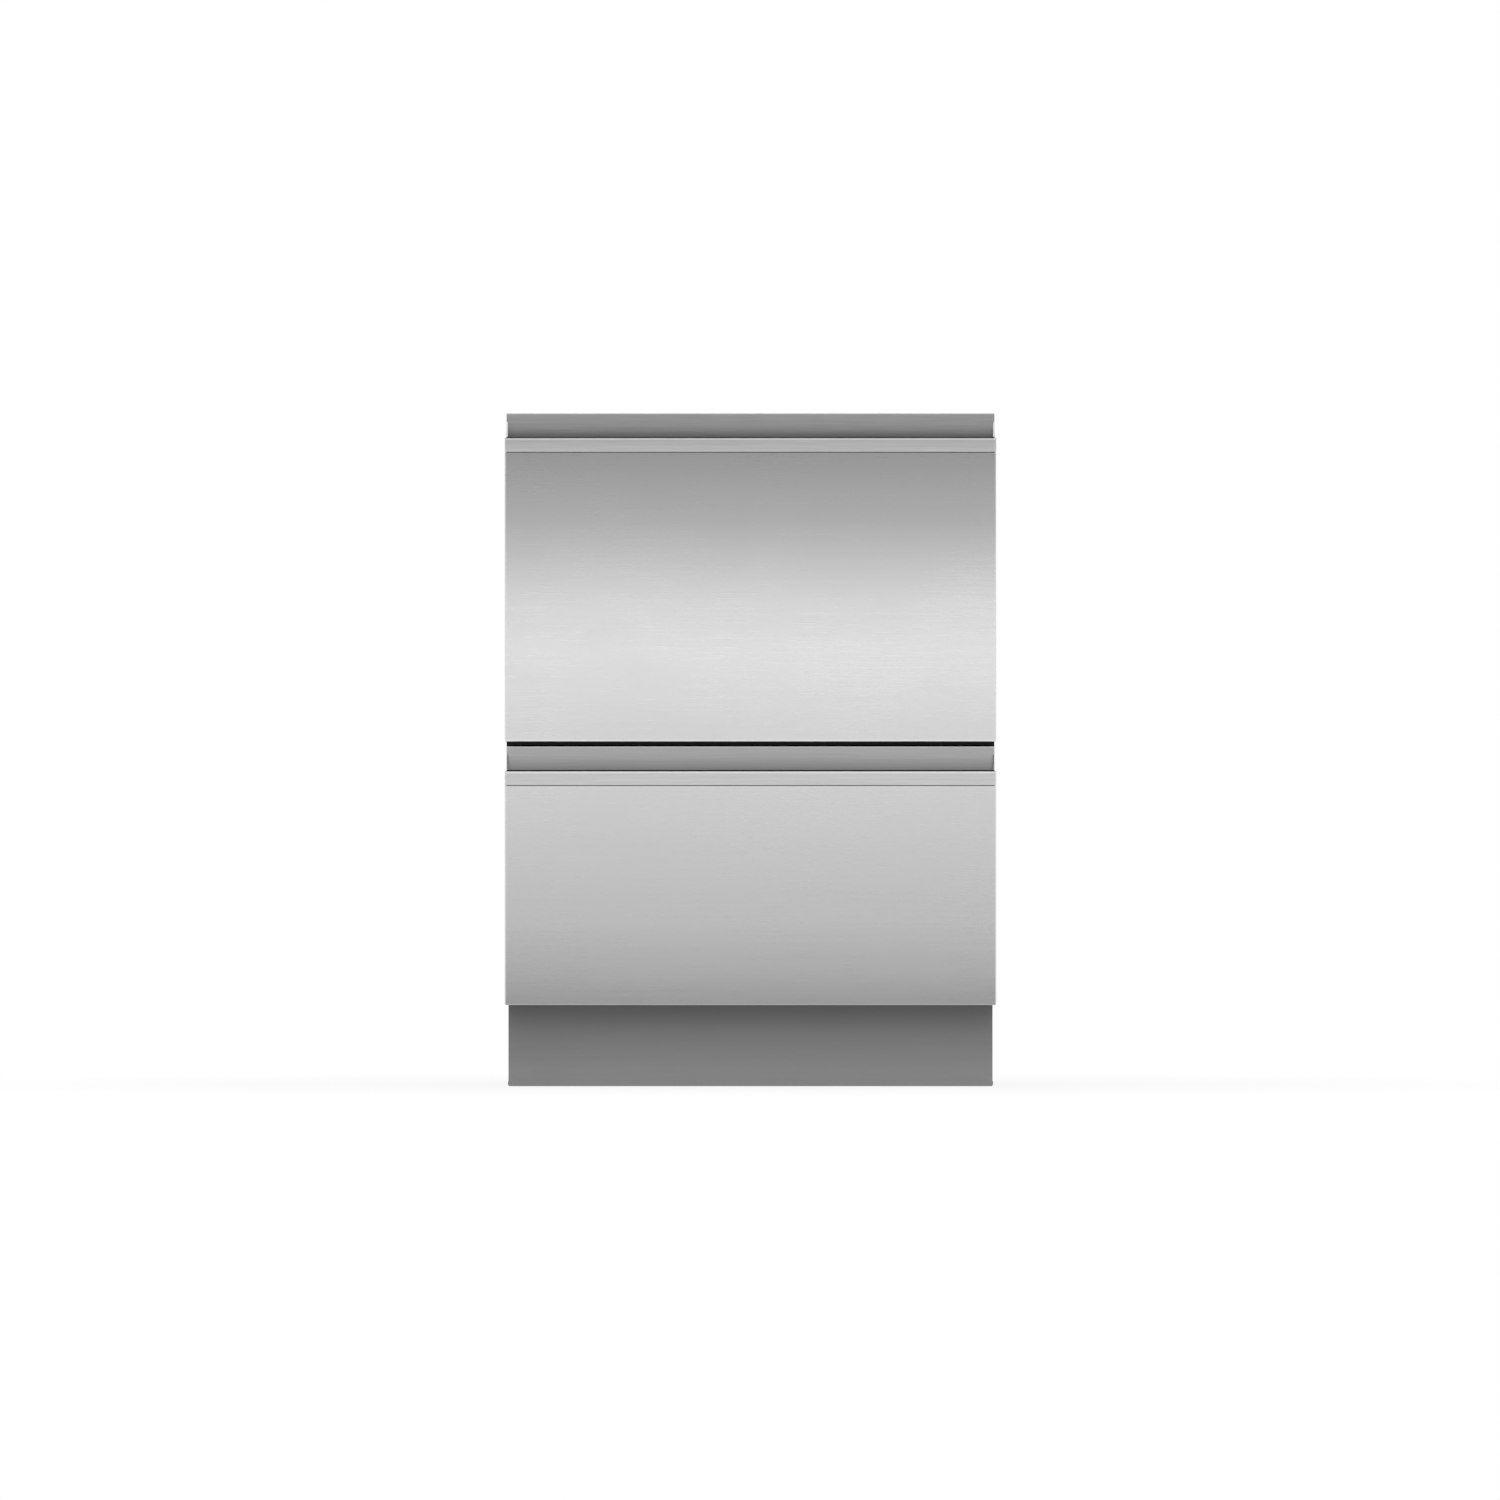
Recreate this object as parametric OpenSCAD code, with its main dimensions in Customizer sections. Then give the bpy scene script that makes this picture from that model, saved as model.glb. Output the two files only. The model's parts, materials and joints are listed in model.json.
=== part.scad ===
// Double dishwasher drawer for building in under a bench: two drawers in one sheet-metal
// chassis, each with its own tub, rack, spray arm, wash motor and lid that drops to seal it.
// Millimetres. +X is right and +Z is up, seen from the front. The front faces -Y.
// The origin is on the floor, under the middle of the appliance.
// Drawer 0 is the upper one and drawer 1 the lower one.

/* [Overall] */
// Width across the drawer fronts
front_w = 598; // [596:1:620]
// Height from the floor to the top of the upper drawer, with the feet wound in
overall_h = 820; // [810:1:860]
// Depth from the face of the drawer fronts to the screw heads at the back
overall_d = 573; // [565:1:600]
// Height of the toe space, from the floor to the lower drawer front
toe_h = 99.5; // [92:0.5:105]
// Travel of a drawer, from shut to fully open
drawer_travel = 500; // [440:5:510]

/* [Drawer fronts] */
// Height of the lower drawer front, with its handle
lower_front_h = 315; // [305:1:325]
// Gap between the two drawer fronts
front_gap = 5.5; // [4:0.5:8]
// Depth of a drawer front, from its face to the edge of its folded sides
front_depth = 26; // [24:0.5:30]
// Thickness of the stainless skin
skin_t = 1; // [0.8:0.1:1.2]
// Outside radius of the skin's folds
fold_r = 2; // [1.5:0.5:3]
// Height of the handle's front lip
lip_h = 17.5; // [15:0.5:20]
// Height that the handle's back wall stands above its lip
reveal_h = 30; // [26:0.5:34]
// Wall of the handle extrusion
handle_wall = 2; // [1.5:0.25:2.5]
// Depth of the finger channel below the handle's lip
channel_depth = 22; // [20:0.5:26]
// Wall of the moulded front carrier
carrier_wall = 3; // [2.5:0.25:3.5]

/* [Chassis] */
// Distance that the fronts reach past the chassis on each side
front_overhang = 2; // [1:0.5:4]
// Thickness of the chassis sheet
sheet = 1.2; // [1:0.1:1.5]
// Width of the flanges at the back and top of a side panel
flange_w = 14; // [12:1:16]
// Depth of the pressed swages in the side and back panels
swage_depth = 2; // [1.5:0.5:3]
// Height of the cross rail between the two drawers
mid_rail_h = 16; // [12:1:18]
// Depth of the recess at the back for the water and power connections
recess_depth = 40; // [35:1:45]
// Width of that recess
recess_w = 260; // [220:10:300]
// Setback of the toe kick, behind the face of the drawer fronts
toe_setback = 55; // [45:1:65]
// Gap between an end of the toe kick and the outside of the chassis
toe_side_gap = 2; // [0:0.5:5]

/* [Feet and fixings] */
// Radius of a foot's pad
foot_r = 18; // [14:1:20]
// Radius of a foot's threaded stem
stem_r = 4; // [3:0.5:5]
// Range through which a foot can be wound out
foot_travel = 60; // [40:5:60]
// Radius of the holes that take the installer's screws
fixing_r = 2.5; // [2:0.25:3]
// Distance between the two bench fixing holes
bench_fixing_spacing = 400; // [300:10:460]
// Distance between the two fixing holes in each side panel
side_fixing_spacing = 520; // [460:10:560]

/* [Runners] */
// Height of the outer runner channel
rail_h = 46; // [44:1:50]
// Sheet thickness of the runners
rail_t = 1.5; // [1.2:0.1:1.8]
// Radius of the bearing balls
ball_r = 1.75; // [1.5:0.05:1.9]
// Height of the runners' middle above the tub's floor
rail_rise = 70; // [66:1:76]

/* [Tub and lid] */
// Gap between a tub's side wall and the outside of the chassis
side_gap = 35; // [34:0.5:38]
// Wall of the moulded tub
tub_wall = 3; // [2.5:0.25:4]
// Outside radius of the tub's corners
tub_corner = 40; // [30:1:50]
// Gap between the back of the tub and the back of the appliance
rear_gap = 58; // [56:1:64]
// Width of the rim round the tub
rim_w = 8; // [6:0.5:8]
// Drop from the top of a drawer to its tub's rim
rim_drop = 32; // [31:0.5:36]
// Thickness of the lid
lid_t = 10; // [8:0.5:10]
// Distance that the lid drops to seal the tub
lid_drop = 8; // [6:0.5:8]
// Thickness of the lid's seal
seal_t = 4; // [3:0.5:4]

/* [Wash system] */
// Radius of the sump, inside
sump_r = 107; // [100:1:115]
// Depth of the sump below the tub
sump_depth = 24; // [22:1:26]
// Height of the wash motor
motor_h = 34; // [30:1:36]
// Radius of the wash motor
motor_r = 60; // [50:1:68]
// Radius of the motor's shaft
shaft_r = 4; // [3:0.25:5]
// Radius swept by the spray arm
spray_r = 208; // [180:1:212]
// Thickness of the spray arm
spray_t = 12; // [10:0.5:13]
// Radius of the spindle that the spray arm turns on
spindle_r = 8; // [6:0.5:10]

/* [Racks] */
// Thickness of the rack's wires
wire = 4; // [3:0.25:5]
// Gap between the rack's square corners and the tub's round ones
rack_clearance = 1.2; // [1:0.1:3]
// Height of the plate tines above the rack's floor
tine_h = 55; // [40:1:60]
// Width of the folding cup shelf
cup_shelf_w = 88; // [70:1:90]
// Height of the cutlery basket
cutlery_h = 108; // [90:1:112]
// Wall of the cutlery basket
cutlery_wall = 2.5; // [2:0.25:3]

/* [Hose link] */
// Length of a link arm between its pivots
link_len = 450; // [440:1:460]
// Height of a link arm
link_h = 18; // [14:1:20]
// Radius of the rounded ends of a link arm
link_r = 12; // [10:0.5:12]
// Radius of the link's pivot pins
pivot_r = 4; // [3:0.25:5]
// Wall of a link arm's trough
link_wall = 2.5; // [2:0.25:3.5]

/* [Hidden] */
$fn = 64;

// Clearances
fit = 0.3;          // between parts that seat on or face each other
running = 0.06;     // radial, between a pin and the bore that turns or slides on it
over = 1;           // how far a cutting shape runs past what it cuts

// Planes from front to back. behind(d) is the plane d behind the face of the fronts.
front_y = -overall_d / 2;
function behind(d) = front_y + d;
screw_head_h = 2.2;
screw_head_r = 4;
screw_r = 2;
screw_len = 6;
edge_seal_t = 2.7;
chassis_y = behind(front_depth + fit + edge_seal_t);
back_face_y = overall_d / 2 - screw_head_h;
back_y = back_face_y - sheet;
control_depth = 25;
control_y = [behind(front_depth), behind(front_depth + control_depth)];
control_rim_gap = 1;
rim_y = [control_y[1] + control_rim_gap, overall_d / 2 - rear_gap + rim_w];
tub_y = [rim_y[0] + rim_w, rim_y[1] - rim_w];
tub_mid_y = (tub_y[0] + tub_y[1]) / 2;
tub_depth = tub_y[1] - tub_y[0];
recess_y = back_face_y - recess_depth;
toe_y = behind(toe_setback);

// Half widths
chassis_w = front_w - 2 * front_overhang;
chassis_x = chassis_w / 2;
bay_x = chassis_x - sheet;
tub_x = chassis_x - side_gap;
tub_w = 2 * tub_x;
rim_x = tub_x + rim_w;
front_flange_w = 6;
control_reach = 16;
control_x = tub_x + control_reach;

// Heights. Functions of the drawer: 0 is the upper one and 1 the lower one.
upper_front_h = overall_h - toe_h - lower_front_h - front_gap;
top_drop = 4;
chassis_top = overall_h - top_drop;
mid_rail_lift = 1.5;
mid_rail_z = toe_h + lower_front_h + mid_rail_lift;
bay_clearance = 6;
function front_h(dr) = dr == 0 ? upper_front_h : lower_front_h;
function front_z(dr) = dr == 0 ? toe_h + lower_front_h + front_gap : toe_h;
function top_z(dr) = front_z(dr) + front_h(dr);
function rim_z(dr) = top_z(dr) - rim_drop;
function bay_z(dr) = dr == 0 ? mid_rail_z + mid_rail_h : toe_h + sheet;
function motor_z(dr) = bay_z(dr) + bay_clearance;
function tub_z(dr) = motor_z(dr) + motor_h + sump_depth;
function rail_z(dr) = tub_z(dr) + rail_rise;
function lid_z(dr) = rim_z(dr) + fit + lid_drop + seal_t;

// Sweep of an arc, as points: centre, radius, first and last angle, number of steps
function arc(c, r, a0, a1, n) =
    [for (i = [0 : n]) let (a = a0 + (a1 - a0) * i / n) c + r * [cos(a), sin(a)]];
// Outline of a rectangle with round corners, centred
corner_steps = 8;
function rounded(w, d, r) = [
    for (q = [0 : 3])
        each arc([(w / 2 - r) * (q == 0 || q == 3 ? 1 : -1),
                  (d / 2 - r) * (q < 2 ? 1 : -1)], r, 90 * q, 90 * q + 90, corner_steps)
];

// A box given by its ranges along x, y and z
module block(x, y, z) {
    translate([x[0], y[0], z[0]]) cube([x[1] - x[0], y[1] - y[0], z[1] - z[0]]);
}
// An upright cylinder given by its range along z
module post(x, y, z, r) {
    translate([x, y, z[0]]) cylinder(r = r, h = z[1] - z[0]);
}
// A 2D shape in x and y, raised over a range of z
module raised(z) {
    translate([0, 0, z[0]]) linear_extrude(z[1] - z[0]) children();
}
// A 2D shape in y and z, drawn along a range of x
module along_x(x) {
    translate([x[0], 0, 0]) rotate([90, 0, 90]) linear_extrude(x[1] - x[0]) children();
}
// A 2D shape in x and z, drawn along a range of y
module along_y(y) {
    translate([0, y[1], 0]) rotate([90, 0, 0]) linear_extrude(y[1] - y[0]) children();
}
// Cylinders lying along x or y
module rod_x(x, y, z, r) {
    translate([x[0], y, z]) rotate([0, 90, 0]) cylinder(r = r, h = x[1] - x[0]);
}
module rod_y(x, y, z, r) {
    translate([x, y[1], z]) rotate([90, 0, 0]) cylinder(r = r, h = y[1] - y[0]);
}
// What is drawn for the right-hand side goes to the left when side is -1
module on_side(side) {
    mirror([side < 0 ? 1 : 0, 0, 0]) children();
}
module both_sides() {
    for (side = [-1, 1]) on_side(side) children();
}
// A flat grid of square bars: a sheet of w by h with nx by ny windows
module grid(w, h, nx, ny) {
    pitch_x = (w - wire) / nx;
    pitch_y = (h - wire) / ny;
    difference() {
        square([w, h]);
        for (i = [0 : nx - 1], j = [0 : ny - 1])
            translate([wire + i * pitch_x, wire + j * pitch_y])
                square([pitch_x - wire, pitch_y - wire]);
    }
}

// ---------------------------------------------------------------- chassis

// n places from a to b, each end one gap in
function spread(a, b, gap, n) = [for (i = [0 : n - 1]) a + gap + i * (b - a - 2 * gap) / (n - 1)];
top_front_gap = 2;
top_y = [rim_y[0] + top_front_gap, back_y];
// Screws through the back and top panels, down the middle of the side panels' flanges
back_screw_gap = 40;
top_screw_gap = 60;
flange_screw_x = bay_x - flange_w / 2;
back_screw_z = spread(toe_h, chassis_top, back_screw_gap, 4);
top_screw_y = spread(top_y[0], top_y[1], top_screw_gap, 3);
// Holes for the installer's screws
fixing_edge_gap = 2.5;
bench_fixing_gap = 20;
fixing_y = chassis_y + front_flange_w + fixing_edge_gap + fixing_r;
bench_fixing_y = top_y[0] + bench_fixing_gap;
side_fixing_z = (toe_h + chassis_top) / 2;

// A swage is pressed inwards: a pad inside the sheet and a pocket outside it
swage_edge_gap = 60;
swage_rail_gap = 12;
swage_floor_gap = 30;
swage_r = 14;
swage_y = [chassis_y + swage_edge_gap, back_y - swage_edge_gap];
function side_swages() = [
    [toe_h + swage_floor_gap, rail_z(1) - rail_h / 2 - swage_rail_gap],
    [mid_rail_z + mid_rail_h + swage_rail_gap, rail_z(0) - rail_h / 2 - swage_rail_gap],
    [rail_z(0) + rail_h / 2 + swage_rail_gap, actuator_z(0)[0] - swage_rail_gap]
];
module swage_outline(z, inset) {
    translate([(swage_y[0] + swage_y[1]) / 2, (z[0] + z[1]) / 2])
        polygon(rounded(swage_y[1] - swage_y[0] - 2 * inset, z[1] - z[0] - 2 * inset,
                        swage_r - inset));
}
module side_panel(side) {
    color("lightsteelblue") on_side(side) difference() {
        union() {
            block([bay_x, chassis_x], [chassis_y, back_y], [toe_h, chassis_top - sheet]);
            block([chassis_x - front_flange_w, chassis_x], [chassis_y, chassis_y + sheet],
                  [toe_h, chassis_top - sheet]);
            block([bay_x - flange_w, chassis_x], [back_y - sheet, back_y],
                  [toe_h + sheet, chassis_top - sheet]);
            block([bay_x - flange_w, chassis_x], [top_y[0], back_y],
                  [chassis_top - 2 * sheet, chassis_top - sheet]);
            for (z = side_swages())
                along_x([bay_x - swage_depth, bay_x + sheet / 2]) swage_outline(z, 0);
        }
        for (z = side_swages())
            along_x([chassis_x - swage_depth, chassis_x + over]) swage_outline(z, sheet);
        for (z = back_screw_z)
            rod_y(flange_screw_x, [back_y - sheet - over, back_y + over], z, screw_r + running);
        for (y = top_screw_y)
            post(flange_screw_x, y, [chassis_top - 3 * sheet, chassis_top], screw_r + running);
        for (i = [-1, 1])
            rod_x([bay_x - over, chassis_x + over], fixing_y,
                  side_fixing_z + i * side_fixing_spacing / 2, fixing_r);
    }
}

// Recess at the foot of the back panel, for the hoses and the cable
recess_h = 65;
recess_z = [toe_h + sheet, toe_h + recess_h];
// Ports in the recess: radius, length outside the plate, and radius of the bore
inlet_r = 13.2;
inlet_len = 14;
inlet_bore_r = 6;
drain_r = 9.5;
drain_len = 20.5;
drain_bore_r = 7.5;
gland_r = 9;
gland_len = 10;
gland_bore_r = 4.2;
port_neck = 1.5;
port_collar = 4;
port_collar_t = 4;
port_spacing = 70;
port_z = (recess_z[0] + recess_z[1]) / 2;
ports = [
    [-port_spacing, inlet_r, inlet_len, inlet_bore_r],
    [0, drain_r, drain_len, drain_bore_r],
    [port_spacing, gland_r, gland_len, gland_bore_r]
];

// The pressed swages of the back panel, as outlines in x and z
back_swage_h = 420;
back_swage_gap = 35;
back_swage_r = 30;
module back_swage_outline(inset) {
    for (x = [-1, 1])
        translate([x * chassis_w / 4, (recess_z[1] + chassis_top) / 2])
            polygon(rounded(chassis_w / 2 - 2 * back_swage_gap - 2 * inset,
                            back_swage_h - 2 * inset, back_swage_r - inset));
}
module back_panel() {
    color("lightsteelblue") difference() {
        union() {
            block([-chassis_x, chassis_x], [back_y, back_face_y],
                  [toe_h + sheet, chassis_top - sheet]);
            block([-recess_w / 2 - sheet, recess_w / 2 + sheet], [recess_y, back_face_y],
                  [recess_z[0], recess_z[1] + sheet]);
            along_y([back_y - swage_depth, back_y + sheet / 2]) back_swage_outline(0);
        }
        along_y([back_face_y - swage_depth, back_face_y + over])
            back_swage_outline(sheet);
        block([-recess_w / 2, recess_w / 2], [recess_y + sheet, back_face_y + over],
              [recess_z[0] - over, recess_z[1]]);
        for (p = ports)
            rod_y(p[0], [recess_y - over, recess_y + sheet + over], port_z,
                  p[1] + port_neck + fit);
        both_sides() for (z = back_screw_z)
            rod_y(flange_screw_x, [back_y - over, back_face_y + over], z, screw_r + running);
    }
    // Brackets that carry the hose links' rear pivots
    color("lightsteelblue") for (dr = [0, 1]) {
        block([link_x - link_r, link_x + link_r], [link_y, back_y], bracket_z(dr));
        post(link_x, link_y, bracket_z(dr), link_r);
        post(link_x, link_y, [bracket_z(dr)[0], link_z(dr) + link_h], pivot_r);
    }
}

module top_panel() {
    color("lightsteelblue") difference() {
        block([-chassis_x, chassis_x], [top_y[0], back_face_y],
              [chassis_top - sheet, chassis_top]);
        for (x = [-1, 1])
            post(x * bench_fixing_spacing / 2, bench_fixing_y,
                 [chassis_top - sheet - over, chassis_top + over], fixing_r);
        both_sides() for (y = top_screw_y)
            post(flange_screw_x, y, [chassis_top - sheet - over, chassis_top + over],
                 screw_r + running);
    }
}

// Feet stand at the corners. Their sockets hang under the tray.
toe_return = 22;
foot_edge_gap = 1;
foot_toe_gap = 4;
foot_back_gap = 15;
foot_x = chassis_x - foot_edge_gap - foot_r;
foot_y = [toe_y + toe_return + foot_toe_gap + foot_r, back_y - foot_back_gap - foot_r];
foot_pad_h = 8;
foot_nut_h = 8;
foot_nut_wall = 6;
socket_wall = 5;
socket_h = 14;
tray_flange_h = 12;
module base_tray() {
    color("lightsteelblue") difference() {
        union() {
            block([-bay_x, bay_x], [chassis_y + sheet, back_y], [toe_h, toe_h + sheet]);
            both_sides()
                block([bay_x - sheet, bay_x], [chassis_y + 2 * sheet, back_y - 2 * sheet],
                      [toe_h, toe_h + tray_flange_h]);
            both_sides() for (y = foot_y)
                post(foot_x, y, [toe_h - socket_h, toe_h + sheet], stem_r + socket_wall);
        }
        both_sides() for (y = foot_y)
            post(foot_x, y, [toe_h - socket_h - over, toe_h + sheet + over],
                 stem_r + running);
    }
}

// Feet, wound in: the stems can drop by foot_travel and still be held in their sockets
module feet(y) {
    color("dimgray") both_sides() {
        post(foot_x, y, [0, foot_pad_h], foot_r);
        translate([foot_x, y, foot_pad_h])
            cylinder(r = stem_r + foot_nut_wall, h = foot_nut_h, $fn = 6);
        post(foot_x, y, [foot_pad_h, toe_h + foot_travel], stem_r);
    }
}

mid_rail_depth = 20;
module mid_rail() {
    y = [chassis_y + sheet, chassis_y + sheet + mid_rail_depth];
    color("dimgray") difference() {
        block([-bay_x, bay_x], y, [mid_rail_z, mid_rail_z + mid_rail_h]);
        block([-bay_x - over, bay_x + over], [y[0] + sheet, y[1] + over],
              [mid_rail_z + sheet, mid_rail_z + mid_rail_h - sheet]);
    }
}

toe_floor_gap = 1.5;
toe_x = chassis_x - toe_side_gap;
module toe_kick() {
    color("gray") difference() {
        block([-toe_x, toe_x], [toe_y, toe_y + toe_return], [toe_floor_gap, toe_h]);
        block([-toe_x + sheet, toe_x - sheet], [toe_y + sheet, toe_y + toe_return + over],
              [toe_floor_gap + sheet, toe_h - sheet]);
    }
}

module edge_seals() {
    y = [chassis_y - edge_seal_t, chassis_y];
    color("black") {
        both_sides() block([chassis_x - front_flange_w, chassis_x], y, [toe_h, chassis_top]);
        block([-chassis_x, chassis_x], y, [mid_rail_z, mid_rail_z + mid_rail_h]);
    }
}

// A screw whose head seats at z = 0 and whose shank points down
module screw() {
    cylinder(r = screw_head_r, h = screw_head_h);
    translate([0, 0, -screw_len]) cylinder(r = screw_r, h = screw_len + screw_head_h / 2);
}
module chassis_screws() {
    color("silver") both_sides() {
        for (z = back_screw_z)
            translate([flange_screw_x, back_face_y, z]) rotate([-90, 0, 0]) screw();
        for (y = top_screw_y) translate([flange_screw_x, y, chassis_top]) screw();
    }
}

// Water inlet with its valve, drain spigot, and cable gland. Each has a flange inside the
// recess plate, a neck through it and a collar outside it.
module service_ports() {
    valve_w = 36;
    valve_d = 42;
    y = [recess_y - port_collar_t, recess_y + sheet + fit + port_collar_t];
    color("darkslategray") for (p = ports) difference() {
        union() {
            rod_y(p[0], [y[0], recess_y], port_z, p[1] + port_neck + port_collar);
            rod_y(p[0], y, port_z, p[1] + port_neck);
            rod_y(p[0], [y[1] - port_collar_t, y[1]], port_z, p[1] + port_neck + port_collar);
            rod_y(p[0], [y[1] - over, y[1] + p[2]], port_z, p[1]);
        }
        rod_y(p[0], [y[0] - over, y[1] + p[2] + over], port_z, p[3]);
    }
    color("darkslategray")
        block([-port_spacing - valve_w / 2, -port_spacing + valve_w / 2],
              [y[0] - valve_d, y[0]], [port_z - valve_w / 2, port_z + valve_w / 2]);
}

// ---------------------------------------------------------------- runners

// Three nested channels a side: outer on the chassis, middle, and inner on the tub.
// The balls run in the gaps between their flanges.
ball_play = 0.2;
ball_gap = 2 * ball_r + ball_play;
middle_h = rail_h - 2 * rail_t - 2 * ball_gap;
inner_h = middle_h - 2 * rail_t - 2 * ball_gap;
channel_w = 12;
middle_side_gap = 2.5;
outer_web_x = bay_x;
middle_web_x = chassis_x - front_flange_w - middle_side_gap;
inner_web_x = rim_x;
outer_mouth_x = outer_web_x - channel_w;
middle_mouth_x = middle_web_x - channel_w;
inner_mouth_x = inner_web_x + channel_w;
rail_front_gap = 7;
rail_back_gap = 54;
rail_y = [chassis_y + rail_front_gap, back_y - rail_back_gap];
cage_w = 3;
cage_t = 1.5;
cage_end_gap = 8;
cage_len = rail_y[1] - rail_y[0] - drawer_travel / 2 - 4 * cage_end_gap;
balls_per_cage = 4;

// A channel whose web's outside is at web_x and whose flanges end at mouth_x
module channel(web_x, mouth_x, h, z) {
    t = rail_t;
    s = sign(web_x - mouth_x);
    along_y(rail_y) translate([0, z]) polygon([
        [mouth_x, h / 2], [web_x, h / 2], [web_x, -h / 2], [mouth_x, -h / 2],
        [mouth_x, -h / 2 + t], [web_x - s * t, -h / 2 + t],
        [web_x - s * t, h / 2 - t], [mouth_x, h / 2 - t]
    ]);
}
// A strip of balls, centred on x and z
module ball_cage(x, y0, z) {
    block([x - cage_w / 2, x + cage_w / 2], [y0, y0 + cage_len],
          [z - cage_t / 2, z + cage_t / 2]);
    for (i = [0 : balls_per_cage - 1])
        translate([x, y0 + cage_len * (i + 0.5) / balls_per_cage, z]) sphere(r = ball_r);
}
module outer_rails() {
    color("silver") for (dr = [0, 1]) both_sides()
        channel(outer_web_x, outer_mouth_x, rail_h, rail_z(dr));
}
module middle_rails(dr) {
    outer_gap_x = (outer_mouth_x + middle_web_x) / 2;
    inner_gap_x = (middle_mouth_x + inner_mouth_x) / 2;
    color("silver") both_sides() {
        channel(middle_web_x, middle_mouth_x, middle_h, rail_z(dr));
        for (up = [-1, 1]) {
            ball_cage(outer_gap_x, rail_y[1] - cage_end_gap - cage_len,
                      rail_z(dr) + up * (middle_h + ball_gap) / 2);
            ball_cage(inner_gap_x, rail_y[0] + cage_end_gap,
                      rail_z(dr) + up * (inner_h + ball_gap) / 2);
        }
    }
}
module inner_rails(dr) {
    color("silver") both_sides() channel(inner_web_x, inner_mouth_x, inner_h, rail_z(dr));
}

// ---------------------------------------------------------------- lid

guide_r = 3;
guide_len = 40;
guide_gap = 9;
guide_x = rim_x + guide_gap + guide_r;
guide_y = tub_mid_y;
actuator_h = 60;
actuator_half = 30;
actuator_floor = 6;
actuator_wall = 5;
function actuator_z(dr) = [rim_z(dr) - lid_drop - actuator_h, rim_z(dr) - lid_drop];

// The outline of the tub's rim, taken in by inset
module rim_outline(inset) {
    translate([0, (rim_y[0] + rim_y[1]) / 2])
        polygon(rounded(2 * (rim_x - inset), rim_y[1] - rim_y[0] - 2 * inset,
                        tub_corner + rim_w - inset));
}
lid_inset = 1;
module lid(dr) {
    skirt = 6;
    wall = 3;
    rib_lift = 2;
    ribs = spread(rim_y[0], rim_y[1], tub_depth / 4, 3);
    ear_half = 15;
    ear_wall = 3;
    z = [lid_z(dr), lid_z(dr) + lid_t];
    color("gainsboro") {
        difference() {
            raised(z) rim_outline(lid_inset);
            raised([z[0] - over, z[1] - wall]) rim_outline(lid_inset + skirt);
        }
        for (y = ribs)
            block([-rim_x + skirt, rim_x - skirt], [y - wall / 2, y + wall / 2],
                  [z[0] + rib_lift, z[1] - wall / 2]);
        both_sides() difference() {
            block([rim_x - skirt, guide_x + guide_r + ear_wall],
                  [guide_y - ear_half, guide_y + ear_half], z);
            post(guide_x, guide_y, [z[0] - over, z[1] - wall], guide_r + running);
        }
    }
    // Guide pins, seated in the ears
    color("silver") both_sides()
        post(guide_x, guide_y, [rim_z(dr) - guide_len, z[1] - wall - fit], guide_r);
}
module lid_seal(dr) {
    z = [lid_z(dr) - seal_t, lid_z(dr)];
    color("dimgray") difference() {
        raised(z) rim_outline(lid_inset);
        raised([z[0] - over, z[1] + over]) rim_outline(rim_w - lid_inset);
    }
}
// Motor housings on the chassis sides that hold and lower the lids by their guide pins
module lid_actuators() {
    color("darkslategray") for (dr = [0, 1]) both_sides() difference() {
        block([guide_x - guide_r - actuator_wall, bay_x],
              [guide_y - actuator_half, guide_y + actuator_half], actuator_z(dr));
        post(guide_x, guide_y, [actuator_z(dr)[0] + actuator_floor, actuator_z(dr)[1] + over],
             guide_r + running);
    }
}

// ---------------------------------------------------------------- drawer front

joint_gap = 0.5;
function skin_top(dr) = top_z(dr) - reveal_h - lip_h - joint_gap;
lip_t = skin_t + fit + handle_wall;
reveal_inset = 2;
reveal_x = front_w / 2 - reveal_inset;

// Plan of the front: a rectangle with its two front corners rounded, taken in by inset
module front_plan(inset) {
    w = front_w / 2 - inset;
    r = max(fold_r - inset, 0.4);
    polygon(concat(
        [[w, behind(front_depth)], [-w, behind(front_depth)]],
        arc([-w + r, behind(inset) + r], r, 180, 270, 6),
        arc([w - r, behind(inset) + r], r, 270, 360, 6)
    ));
}
module front_panel(dr) {
    color("lightgray") difference() {
        raised([front_z(dr), skin_top(dr)]) front_plan(0);
        raised([front_z(dr) + skin_t, skin_top(dr) + over]) front_plan(skin_t);
        block([-front_w / 2 + skin_t, front_w / 2 - skin_t],
              [behind(front_depth) - over, behind(front_depth) + over],
              [front_z(dr) + skin_t, skin_top(dr) + over]);
    }
}

// Section of the handle, in depth behind the face and height above the top of the drawer:
// a front lip, a channel for the fingers and a back wall that stands up behind it
cove_r = 7;
floor_r = 3;
lip_round = 1.5;
cap_t = 2;
cap_drop = 8;
function handle_floor() = -reveal_h - channel_depth;
function handle_section() = let (
    d = front_depth, t = handle_wall, f = handle_floor(), foot = skin_t + fit
) concat(
    [[d, 0], [d - t, 0]],
    arc([d - t - cove_r, f + cove_r], cove_r, 360, 270, 6),
    arc([lip_t + floor_r, f + floor_r], floor_r, 270, 180, 4),
    arc([lip_t - lip_round, -reveal_h - lip_round], lip_round, 0, 90, 4),
    arc([lip_round, -reveal_h - lip_round], lip_round, 90, 180, 4),
    [[0, -reveal_h - lip_h], [foot, -reveal_h - lip_h], [foot, f - t], [d, f - t]]
);
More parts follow.
